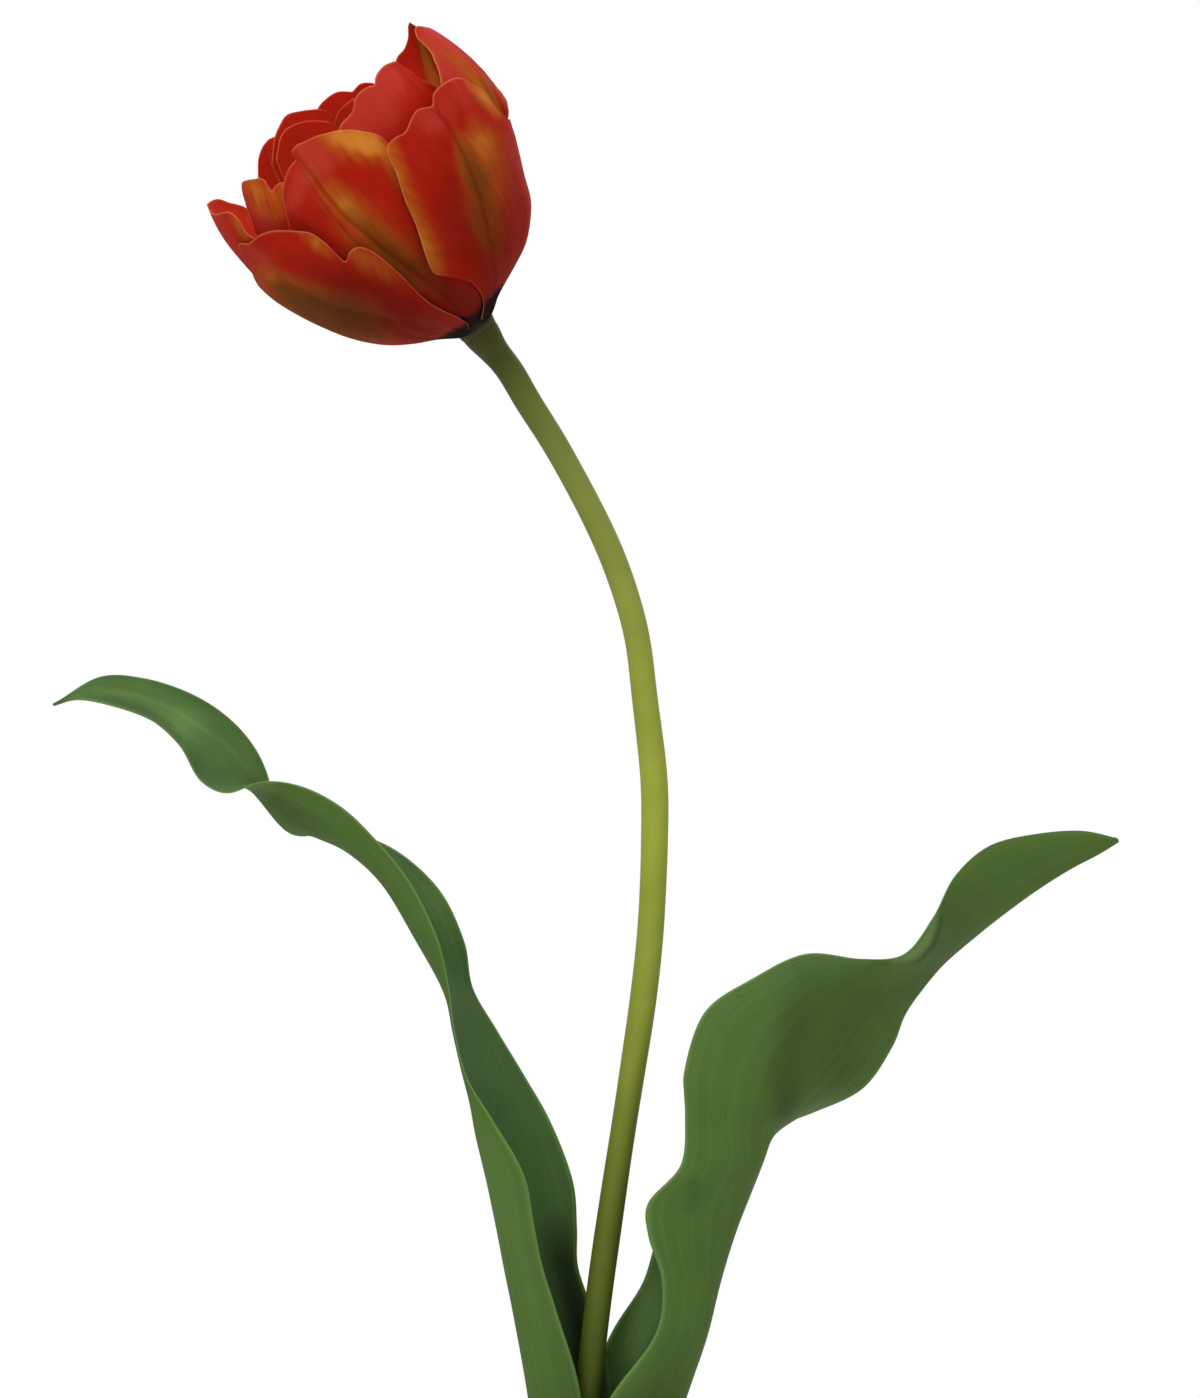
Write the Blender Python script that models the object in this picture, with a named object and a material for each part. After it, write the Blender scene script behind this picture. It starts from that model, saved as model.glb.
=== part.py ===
"""A double tulip standing in water in a plain glazed vase.

Lengths are in millimetres until the meshes are made, which are in metres, +Z up. The origin is
the middle of the vase's flat underside. Outlines that the picture shows are read in pixels of
its 1200 x 1398 frame and laid at their real place by the function seen_at.
"""

import math

import bmesh
import bpy
import numpy as np
from mathutils import Vector

METRES = 0.001
CONTACT_GAP = 0.3

# Driving dimensions of the vase and the water
VASE_HEIGHT = 190.0
VASE_WALL = 3.6
VASE_FLOOR = 7.0
VASE_SIDES = 36
FOOT_RADIUS = 34.0
WATER_LEVEL = 104.0

# Where the picture's frame lies in the real world
PIXEL = 0.25
FRAME_BOTTOM_Z = 196.0
AXIS_PIXEL_X = 607.0
MIDDLE_PIXEL = (600.0, 699.0)
FRAME_BOTTOM_PIXEL = 1398.0
VIEW_DISTANCE = 2400.0

# Stem, leaves and flower
STEM_RADIUS = 3.3
NECK_RADIUS = 4.2
LEAF_THICKNESS = 0.8
LEAF_COLUMNS = 8
LEAF_ROWS = 42
PETAL_THICKNESS = 0.7
PETAL_COLUMNS = 8
PETAL_ROWS = 6
BLOOM_BASE_PIXEL = (480.0, 332.0)
BLOOM_LEAN = math.radians(36.6)
BLOOM_TILT = math.radians(10.5)


def seen_at(pixel_x, pixel_y, depth):
    """The point at this depth behind the stem's plane that the picture shows at a pixel."""
    scale = PIXEL * (VIEW_DISTANCE + depth) / VIEW_DISTANCE
    middle_x = (MIDDLE_PIXEL[0] - AXIS_PIXEL_X) * PIXEL
    middle_z = FRAME_BOTTOM_Z + (FRAME_BOTTOM_PIXEL - MIDDLE_PIXEL[1]) * PIXEL
    return np.array(
        [
            middle_x + (pixel_x - MIDDLE_PIXEL[0]) * scale,
            depth,
            middle_z - (pixel_y - MIDDLE_PIXEL[1]) * scale,
        ]
    )


BLOOM_BASE = seen_at(*BLOOM_BASE_PIXEL, 0.0)
BLOOM_RIGHT = np.array([math.cos(BLOOM_LEAN), 0.0, math.sin(BLOOM_LEAN)])
BLOOM_UP_FLAT = np.array([-math.sin(BLOOM_LEAN), 0.0, math.cos(BLOOM_LEAN)])
TOWARDS_VIEWER = np.array([0.0, -1.0, 0.0])
BLOOM_AXIS = math.cos(BLOOM_TILT) * BLOOM_UP_FLAT + math.sin(BLOOM_TILT) * TOWARDS_VIEWER
BLOOM_FRONT = math.cos(BLOOM_TILT) * TOWARDS_VIEWER - math.sin(BLOOM_TILT) * BLOOM_UP_FLAT


def smooth_path(points, count):
    """Points evenly spread along a Catmull-Rom curve through the given ones."""
    points = np.asarray(points, float)
    gaps = np.linalg.norm(np.diff(points, axis=0), axis=1) ** 0.5
    knots = np.concatenate([[0.0], np.cumsum(gaps)])
    padded = np.vstack([2 * points[0] - points[1], points, 2 * points[-1] - points[-2]])
    times = np.concatenate([[-gaps[0]], knots, [knots[-1] + gaps[-1]]])
    fine = []
    for index in range(len(points) - 1):
        p0, p1, p2, p3 = padded[index : index + 4]
        t0, t1, t2, t3 = times[index : index + 4]
        for t in np.linspace(t1, t2, 24, endpoint=False):
            a1 = (t1 - t) / (t1 - t0) * p0 + (t - t0) / (t1 - t0) * p1
            a2 = (t2 - t) / (t2 - t1) * p1 + (t - t1) / (t2 - t1) * p2
            a3 = (t3 - t) / (t3 - t2) * p2 + (t - t2) / (t3 - t2) * p3
            b1 = (t2 - t) / (t2 - t0) * a1 + (t - t0) / (t2 - t0) * a2
            b2 = (t3 - t) / (t3 - t1) * a2 + (t - t1) / (t3 - t1) * a3
            fine.append((t2 - t) / (t2 - t1) * b1 + (t - t1) / (t2 - t1) * b2)
    fine = np.array(fine + [points[-1]])
    walked = np.concatenate([[0.0], np.cumsum(np.linalg.norm(np.diff(fine, axis=0), axis=1))])
    wanted = np.linspace(0.0, walked[-1], count)
    return np.column_stack([np.interp(wanted, walked, fine[:, k]) for k in range(fine.shape[1])])


def clear_scene():
    for item in list(bpy.data.objects):
        bpy.data.objects.remove(item)


def plain_material(name, colour, roughness):
    material = bpy.data.materials.new(name)
    material.use_nodes = True
    shader = material.node_tree.nodes["Principled BSDF"]
    shader.inputs["Base Color"].default_value = (*colour, 1.0)
    shader.inputs["Roughness"].default_value = roughness
    shader.inputs["Metallic"].default_value = 0.0
    return material


def link_object(name, data, material):
    item = bpy.data.objects.new(name, data)
    bpy.context.scene.collection.objects.link(item)
    item.data.materials.append(material)
    return item


def turned_mesh(name, profile, sides):
    """A mesh turned round Z from (radius, height) pairs that start and end on the axis."""
    shape = bmesh.new()
    rings = []
    for radius, height in profile:
        if radius == 0.0:
            rings.append([shape.verts.new(Vector((0.0, 0.0, height)) * METRES)])
            continue
        ring = []
        for side in range(sides):
            angle = math.tau * side / sides
            spot = Vector((radius * math.cos(angle), radius * math.sin(angle), height))
            ring.append(shape.verts.new(spot * METRES))
        rings.append(ring)
    for lower, upper in zip(rings, rings[1:]):
        for side in range(sides):
            after = (side + 1) % sides
            corners = [lower[side % len(lower)], lower[after % len(lower)]]
            corners += [upper[after % len(upper)], upper[side % len(upper)]]
            unique = list(dict.fromkeys(corners))
            shape.faces.new(unique)
    bmesh.ops.recalc_face_normals(shape, faces=shape.faces)
    mesh = bpy.data.meshes.new(name)
    shape.to_mesh(mesh)
    shape.free()
    mesh.shade_smooth()
    return mesh


def sheet_mesh(name, rows, thickness):
    """A blade of even thickness on a grid of points; both faces are split into triangles alike."""
    shape = bmesh.new()
    grid = [[shape.verts.new(Vector(spot) * METRES) for spot in row] for row in rows]
    for row_index, (near, far) in enumerate(zip(grid, grid[1:])):
        for column in range(len(near) - 1):
            a, b, c, d = near[column], near[column + 1], far[column + 1], far[column]
            if (row_index + column) % 2:
                shape.faces.new((a, b, c))
                shape.faces.new((a, c, d))
            else:
                shape.faces.new((a, b, d))
                shape.faces.new((b, c, d))
    mesh = bpy.data.meshes.new(name)
    shape.to_mesh(mesh)
    shape.free()
    mesh.shade_smooth()
    helper = bpy.data.objects.new(name, mesh)
    bpy.context.scene.collection.objects.link(helper)
    solid = helper.modifiers.new("Thickness", "SOLIDIFY")
    solid.thickness = thickness * METRES
    solid.offset = 0.0
    solid.use_even_offset = False
    return helper


def evaluated_mesh(item):
    graph = bpy.context.evaluated_depsgraph_get()
    return bpy.data.meshes.new_from_object(item.evaluated_get(graph))


def freeze(item):
    """Replaces an object's mesh and modifiers by the mesh that they make."""
    mesh = evaluated_mesh(item)
    item.modifiers.clear()
    item.data = mesh
    mesh.shade_smooth()
    return item


def keep_largest_body(mesh):
    """Fills hollows that fusing sealed and drops loose scrap: only the outer skin stays."""
    shape = bmesh.new()
    shape.from_mesh(mesh)
    seen = set()
    bodies = []
    for start in shape.faces:
        if start in seen:
            continue
        seen.add(start)
        waiting, body = [start], []
        while waiting:
            face = waiting.pop()
            body.append(face)
            for edge in face.edges:
                for beside in edge.link_faces:
                    if len(edge.link_faces) == 2 and beside not in seen:
                        seen.add(beside)
                        waiting.append(beside)
        bodies.append(body)
    bodies.sort(key=len)
    scrap = [face for body in bodies[:-1] for face in body]
    bmesh.ops.delete(shape, geom=scrap, context="FACES")
    shape.to_mesh(mesh)
    shape.free()


def fuse(base, helpers, solver="EXACT"):
    """One union of the base with all the helper objects, which are then removed."""
    group = bpy.data.collections.new(base.name + "_parts")
    bpy.context.scene.collection.children.link(group)
    for helper in helpers:
        group.objects.link(helper)
    join = base.modifiers.new("Union", "BOOLEAN")
    join.operation = "UNION"
    join.operand_type = "COLLECTION"
    join.solver = solver
    join.collection = group
    freeze(base)
    for helper in helpers:
        bpy.data.objects.remove(helper)
    bpy.data.collections.remove(group)
    keep_largest_body(base.data)


# Vase and water

VASE_OUTSIDE = [(34.0, 0.0), (36.4, 2.4), (42.6, 24.0), (46.0, 54.0), (43.6, 84.0)]
VASE_OUTSIDE += [(35.4, 114.0), (27.4, 139.0), (23.6, 160.0), (23.2, 175.0), (25.6, VASE_HEIGHT - 1.6)]


def vase_curve(inset, lowest, highest, count):
    """Points on the vase's side, moved in by the wall, between two heights."""
    curve = smooth_path(VASE_OUTSIDE, 120)
    heights = np.linspace(lowest, highest, count)
    return [(float(np.interp(z, curve[:, 1], curve[:, 0])) - inset, float(z)) for z in heights]


def vase_inside():
    """The inner side of the wall, from the floor's rounding to the lip."""
    return vase_curve(VASE_WALL, VASE_FLOOR + 4.0, VASE_HEIGHT - 1.6, 11)


def build_vase(material):
    outside = vase_curve(0.0, 2.4, VASE_HEIGHT - 1.6, 15)
    inside = vase_inside()
    floor_radius = inside[0][0]
    rim_middle = (outside[-1][0] + inside[-1][0]) / 2
    profile = [(0.0, 0.0), (FOOT_RADIUS, 0.0)] + outside
    profile += [(rim_middle + 1.1, VASE_HEIGHT - 0.3), (rim_middle - 1.1, VASE_HEIGHT - 0.3)]
    profile += inside[::-1]
    profile += [(floor_radius - 3.0, VASE_FLOOR + 0.6), (floor_radius - 7.0, VASE_FLOOR)]
    profile += [(0.0, VASE_FLOOR)]
    return link_object("vase", turned_mesh("vase", profile, VASE_SIDES), material)


def build_water(material):
    """Water to its level, clear of the walls, with a plain hole where the stem stands."""
    wall = np.array(vase_inside())
    side = [(radius - CONTACT_GAP, height) for radius, height in wall if height < WATER_LEVEL]
    surface_radius = np.interp(WATER_LEVEL, wall[:, 1], wall[:, 0]) - CONTACT_GAP
    side.append((surface_radius, WATER_LEVEL))
    floor_radius = side[0][0]
    bottom = VASE_FLOOR + CONTACT_GAP
    profile = [(0.0, bottom), (floor_radius - 7.4, bottom), (floor_radius - 3.2, bottom + 0.7)]
    profile += side
    profile += [(0.0, WATER_LEVEL)]
    water = link_object("water", turned_mesh("water", profile, VASE_SIDES), material)
    bore = stem_tube("water_bore", CONTACT_GAP, lengthen=4.0)
    bore_mesh = evaluated_mesh(bore)
    bpy.data.objects.remove(bore)
    cutter = bpy.data.objects.new("water_cutter", bore_mesh)
    bpy.context.scene.collection.objects.link(cutter)
    cut = water.modifiers.new("Stem hole", "BOOLEAN")
    cut.operation = "DIFFERENCE"
    cut.object = cutter
    freeze(water)
    bpy.data.objects.remove(cutter)
    return water


# Stem

STEM_SEEN = [(645.0, 700.0), (654.0, 780.0), (654.5, 840.0), (650.5, 930.0), (643.0, 1000.0)]
STEM_UPPER = [(509.0, 369.5), (528.0, 401.5), (553.0, 441.0), (575.0, 480.0)]
STEM_UPPER += [(596.0, 520.5), (613.0, 558.5), (627.5, 600.0), (637.5, 640.0)]
STEM_LOWER = [(633.0, 1067.0), (615.5, 1180.0), (600.0, 1288.0), (586.5, 1398.0)]
STEM_IN_VASE = [(-9.4, -28.0), (-13.8, -60.0), (-18.2, -98.0), (-22.6, -143.0)]
STEM_FOOT_X = -26.0
STEM_BOW = 5.0
STEM_END_GAP = 0.6


def stem_depth(height):
    """How far the stem bows back from the picture's plane between the vase and the flower."""
    share = min(max((height - FRAME_BOTTOM_Z) / (BLOOM_BASE[2] - FRAME_BOTTOM_Z), 0.0), 1.0)
    return STEM_BOW * math.sin(math.pi * share)


def stem_route():
    """The stem's middle line from its cut end on the vase floor to the flower."""
    foot = np.array([STEM_FOOT_X, 0.0, VASE_FLOOR + STEM_END_GAP])
    route = [foot]
    for x, below in reversed(STEM_IN_VASE):
        route.append(np.array([x, 0.0, FRAME_BOTTOM_Z + below]))
    for pixel in (STEM_UPPER + STEM_SEEN + STEM_LOWER)[::-1]:
        flat = seen_at(*pixel, 0.0)
        route.append(seen_at(*pixel, stem_depth(flat[2])))
    route.append(BLOOM_BASE - BLOOM_AXIS * 5.0)
    route.append(BLOOM_BASE - BLOOM_AXIS * 2.0)
    route.append(BLOOM_BASE - BLOOM_AXIS * STEM_END_GAP)
    return route


def stem_centre(height):
    """Where the stem's middle is, in plan, at a height inside the vase."""
    route = smooth_path(stem_route(), 400)
    return np.array([np.interp(height, route[:, 2], route[:, k]) for k in (0, 1)])


def stem_tube(name, margin, lengthen=0.0):
    route = smooth_path(stem_route(), 64)
    length = np.linalg.norm(np.diff(route, axis=0), axis=1).sum()
    if lengthen:
        step = route[0] - route[1]
        route[0] = route[0] + step / np.linalg.norm(step) * lengthen
    curve = bpy.data.curves.new(name, "CURVE")
    curve.dimensions = "3D"
    curve.bevel_depth = METRES
    curve.bevel_resolution = 3
    curve.use_fill_caps = True
    line = curve.splines.new("POLY")
    line.points.add(len(route) - 1)
    walked = 0.0
    for index, spot in enumerate(route):
        if index:
            walked += np.linalg.norm(spot - route[index - 1])
        flare = math.exp(-(((length - walked) / 5.0) ** 2))
        line.points[index].co = (*(spot * METRES), 1.0)
        line.points[index].radius = STEM_RADIUS + margin + (NECK_RADIUS - STEM_RADIUS) * flare
    tube = bpy.data.objects.new(name, curve)
    bpy.context.scene.collection.objects.link(tube)
    return tube


def build_stem(material):
    tube = stem_tube("stem_curve", 0.0)
    mesh = evaluated_mesh(tube)
    bpy.data.objects.remove(tube)
    mesh.shade_smooth()
    return link_object("stem", mesh, material)


# Leaves. Each station gives the near edge, the keel and the far edge as (pixel x, pixel y,
# depth), and how far round the blade curls there, in degrees from the keel to an edge.

LEFT_LEAF = [
    ((581, 1398, -8.0), (531, 1398, 0.0), (612, 1398, 7.5), 82),
    ((556, 1310, -9.0), (516, 1310, 0.0), (592, 1310, 9.0), 78),
    ((542, 1265, -9.5), (508, 1270, 0.0), (578, 1266, 10.0), 75),
    ((534, 1225, -10.0), (501, 1230, 0.0), (577, 1228, 11.0), 72),
    ((524, 1175, -10.5), (492, 1185, 0.0), (573, 1182, 12.5), 66),
    ((492, 1119, -11.0), (483, 1135, -1.0), (550, 1121, 13.0), 55),
    ((467, 1078, -11.0), (479, 1090, 0.0), (525, 1077, 13.0), 45),
    ((454, 1028, -11.0), (464, 1040, 1.0), (496, 1029, 13.0), 40),
    ((449, 990, -11.0), (449, 995, 0.0), (473, 989, 12.5), 52),
    ((438, 940, -11.0), (418, 939, -1.0), (464, 941, 11.5), 66),
    ((411, 884, -10.5), (385, 885, -2.0), (437, 887, 10.5), 68),
    ((377, 841, -10.0), (350, 853, -2.0), (390, 847, 9.5), 66),
    ((340, 806, -9.5), (318, 832, -1.5), (343, 826, 9.0), 60),
    ((300, 786, -8.5), (287, 812, 0.0), (297, 838, 9.0), 50),
    ((262, 782, -8.0), (256, 794, 2.0), (277, 806, 9.0), 40),
    ((227, 793, -8.5), (240, 780, 4.0), (268, 776, 8.0), 40),
    ((201, 781, -9.0), (222, 757, 3.0), (255, 748, 6.5), 42),
    ((180, 746, -8.5), (198, 727, 1.0), (229, 718, 5.0), 42),
    ((150, 719, -7.0), (160, 712, -0.5), (192, 694, 3.5), 40),
    ((114, 706, -4.5), (119, 698, -1.0), (143, 678, 1.5), 36),
    ((80, 699, -2.5), (82, 694, -1.0), (99, 677, 0.0), 30),
    ((54, 706, -1.2), (53, 704.5, -1.0), (55, 703, -0.8), 20),
]

RIGHT_LEAF = [
    ((610, 1398, -10.0), (684, 1398, 0.0), (583, 1398, 11.0), 86),
    ((656, 1333, -11.0), (704, 1333, -0.5), (613, 1330, 12.0), 80),
    ((662, 1282, -12.0), (719, 1282, -1.0), (643, 1282, 13.0), 72),
    ((648, 1235, -13.0), (734, 1234, -2.0), (662, 1226, 14.0), 64),
    ((648, 1203, -13.0), (747, 1196, -3.0), (696, 1184, 14.5), 58),
    ((681, 1164, -12.0), (759, 1160, -5.0), (735, 1152, 13.5), 52),
    ((685, 1115, -11.0), (766, 1128, -7.0), (771, 1137, 10.0), 48),
    ((684, 1073, -9.5), (778, 1092, -9.0), (814, 1112, 6.0), 44),
    ((705, 1012, -8.0), (800, 1052, -9.5), (863, 1088, 3.0), 40),
    ((752, 979, -7.0), (828, 1018, -9.5), (892, 1047, 2.0), 38),
    ((806, 954, -8.0), (856, 990, -9.0), (905, 1015, 4.0), 38),
    ((862, 959, -11.0), (888, 975, -7.0), (922, 990, 7.0), 42),
    ((903, 955, -13.0), (914, 962, -5.0), (943, 965, 9.0), 48),
    ((933, 918, -12.0), (943, 930, -4.0), (974, 938, 7.0), 46),
    ((955, 876, -9.0), (973, 895, -5.0), (1003, 915, 3.5), 40),
    ((989, 846, -6.5), (1011, 868, -5.0), (1036, 891, 0.5), 36),
    ((1036, 834, -5.0), (1052, 852, -4.6), (1069, 870, -1.0), 34),
    ((1084, 831, -4.4), (1093, 843, -4.2), (1101, 853, -2.4), 30),
    ((1117, 838, -4.2), (1118.5, 840, -4.2), (1119, 842, -3.8), 20),
]

# Inside the vase each station is (height under the picture's edge, near, keel and far edge as
# offsets (x, y) from the stem's middle, curl)
LEFT_LEAF_BASE = [
    (-42.0, (1.9, -3.6), (-4.1, 0.0), (1.9, 3.6), 118),
    (-36.0, (2.0, -3.8), (-4.4, 0.0), (2.2, 3.8), 116),
    (-22.0, (1.4, -5.6), (-8.2, 0.0), (3.4, 5.4), 100),
]
RIGHT_LEAF_BASE = [
    (-78.0, (-1.9, -3.6), (4.1, 0.0), (-1.9, 3.6), 118),
    (-70.0, (-2.2, -4.2), (4.8, 0.0), (-2.2, 4.2), 116),
    (-54.0, (-3.6, -6.4), (9.4, 0.0), (-3.6, 6.4), 112),
    (-34.0, (-3.4, -8.2), (16.0, 0.0), (-4.0, 8.4), 104),
    (-16.0, (1.0, -9.2), (21.4, 0.0), (-3.4, 10.0), 94),
]


def leaf_stations(base, seen):
    """Every station of a leaf as one row: near edge, keel, far edge and curl."""
    rows = []
    for below, near, keel, far, curl in base:
        height = FRAME_BOTTOM_Z + below
        centre = stem_centre(height)
        spots = [[*(centre + np.array(offset)), height] for offset in (near, keel, far)]
        rows.append(np.concatenate([*spots, [math.radians(curl)]]))
    for near, keel, far, curl in seen:
        spots = [seen_at(*spot) for spot in (near, keel, far)]
        rows.append(np.concatenate([*spots, [math.radians(curl)]]))
    return rows


def across_leaf(station, share):
    """A point on the blade's section, with share running from -1 at the near edge to 1."""
    near, keel, far, curl = station[0:3], station[3:6], station[6:9], station[9]
    depth = (near + far) / 2 - keel
    width = (far - near) / 2
    rise = (1 - math.cos(share * curl)) / (1 - math.cos(curl))
    reach = math.sin(share * curl) / math.sin(curl)
    return keel + depth * rise + width * reach


def leaf_rows(stations, rows, columns):
    shares = np.linspace(-1.0, 1.0, columns + 1)
    path = smooth_path(stations, rows + 1)
    return [[across_leaf(station, share) for share in shares] for station in path]


def build_leaf(name, base, seen, material):
    rows = leaf_rows(leaf_stations(base, seen), LEAF_ROWS, LEAF_COLUMNS)
    leaf = freeze(sheet_mesh(name, rows, LEAF_THICKNESS))
    leaf.data.materials.append(material)
    return leaf


# Flower. Petals lie on nested cups: each layer is the outer cup, narrowed and raised. A petal's
# outline runs from its lower left, round its tip, to its lower right.

CUP = [(1.0, 2.6), (2.6, 6.0), (5.8, 11.2), (8.4, 16.0), (12.6, 21.9), (18.6, 27.4), (25.0, 31.4)]
CUP += [(31.0, 34.3), (38.0, 36.8), (46.0, 38.1), (55.0, 38.2), (62.0, 36.9), (68.0, 34.8), (77.0, 31.0)]
LAYER_REACH = [1.0, 0.935, 0.865, 0.79, 0.62, 0.44]
LAYER_RISE = 0.8
LAYER_CLOSING = [0.0, 0.02, 0.05, 0.08, 0.16, 0.28]
CLOSING_HEIGHT = 60.0
ROOT_HEIGHT = 1.0
ROOT_HALF_ANGLE = 34.0
SHOULDER_HEIGHT, SHOULDER_RISE = 37.0, 8.0
SHOULDER_ANGLE, SHOULDER_TURN = 62.0, 16.0
CORE_HEIGHT = 7.8
CORE = [(0.0, 0.0), (4.1, 0.0), (5.0, 1.4), (5.1, 5.0), (4.0, CORE_HEIGHT), (0.0, CORE_HEIGHT)]
CUP_TABLE = smooth_path(CUP, 200)


def cup_radius(layer, height):
    """How far a layer's surface is from the flower's axis at a height along it."""
    outer = np.interp(height - LAYER_RISE * layer, CUP_TABLE[:, 0], CUP_TABLE[:, 1])
    reach = np.interp(layer, range(len(LAYER_REACH)), LAYER_REACH)
    closing = np.interp(layer, range(len(LAYER_CLOSING)), LAYER_CLOSING)
    return outer * (reach - closing * (height / CLOSING_HEIGHT) ** 3)


def on_flower(radius, angle, height):
    """A point from its place round the flower's axis; angle 0 faces the viewer."""
    sideways = BLOOM_RIGHT * math.sin(angle) + BLOOM_FRONT * math.cos(angle)
    return BLOOM_BASE + BLOOM_AXIS * height + sideways * radius


def seen_on_layer(layer, pixel_x, pixel_y, behind):
    """The angle in degrees and the height at which a layer shows at a pixel of the picture."""
    side = -1.0 if behind else 1.0
    height, angle = 30.0, 0.0
    for _ in range(40):
        spot = on_flower(cup_radius(layer, height), angle, height)
        offset = seen_at(pixel_x, pixel_y, spot[1]) - BLOOM_BASE
        radius = cup_radius(layer, height)
        sine = min(max(float(offset @ BLOOM_RIGHT) / radius, -1.0), 1.0)
        cosine = side * math.sqrt(1.0 - sine * sine)
        upward = float(offset @ BLOOM_UP_FLAT)
        target = (upward + radius * cosine * math.sin(BLOOM_TILT)) / math.cos(BLOOM_TILT)
        height += 0.5 * (min(max(target, ROOT_HEIGHT + 0.5), 76.0) - height)
        angle = math.atan2(sine, cosine)
    return math.degrees(angle) % 360.0, height


def eased(share):
    """A smooth step from 0 to 1."""
    share = min(max(share, 0.0), 1.0)
    return share * share * (3.0 - 2.0 * share)


def near_turn(angle, centre):
    """The same angle, written within half a turn of the petal's middle."""
    return (angle - centre + 180.0) % 360.0 - 180.0 + centre


def outline_from_picture(layer, centre, pixels, behind=False):
    spots = []
    for pixel in pixels:
        angle, height = seen_on_layer(layer, *pixel, behind)
        spots.append((near_turn(angle, centre), height))
    return spots


def plain_outline(centre, half_angle, height, point=0.25):
    """A rounded petal: (angle, height) pairs round its edge."""
    spots = []
    for step in range(-6, 7):
        turn = step / 6 * math.radians(118)
        sideways = math.sin(turn) / math.sin(math.radians(90))
        upward = (1 - point) * math.cos(turn) + point * (1 - abs(step) / 6)
        spots.append((centre + half_angle * sideways, height * (0.62 + 0.38 * upward)))
    return spots


class Petal:
    """One petal: its layer, the angle of its middle, its outline and how it stands out.

    The flare grows towards the edge, and the bulge stands out at the flower's sides, above the
    edges of the outer petals.
    """

    def __init__(self, layer, centre, outline, tip, flare=0.0, bulge=0.0):
        self.layer = layer
        self.centre = centre
        self.outline = outline
        self.tip = tip
        self.flare = flare
        self.bulge = bulge

    def rim(self, columns):
        """Points along the outline with the petal's tip on the middle column."""
        scaled = np.array([(angle * 0.6, height) for angle, height in self.outline])
        left = smooth_path(scaled[: self.tip + 1], columns // 2 + 1)
        right = smooth_path(scaled[self.tip :], columns // 2 + 1)
        rim = np.vstack([left, right[1:]])
        rim[:, 0] /= 0.6
        return rim

    def point(self, edge, across, along):
        """A point of the petal: across runs from -1 to 1, along from the root to the edge."""
        root_angle = self.centre + ROOT_HALF_ANGLE * across
        root_height = ROOT_HEIGHT + LAYER_RISE * self.layer
        angle = root_angle + (edge[0] - root_angle) * along ** 0.85
        height = root_height + (edge[1] - root_height) * along
        radius = cup_radius(self.layer, height)
        shoulder = eased((height - SHOULDER_HEIGHT) / SHOULDER_RISE)
        shoulder *= eased((abs(angle) - SHOULDER_ANGLE) / SHOULDER_TURN)
        radius += self.flare * along**2 + self.bulge * shoulder
        return on_flower(radius, math.radians(angle), height)

    def rows(self, columns, rows):
        rim = self.rim(columns)
        shares = np.linspace(-1.0, 1.0, columns + 1)
        grid = []
        for row in range(rows + 1):
            along = row / rows
            grid.append([self.point(rim[k], shares[k], along) for k in range(columns + 1)])
        return grid


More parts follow.
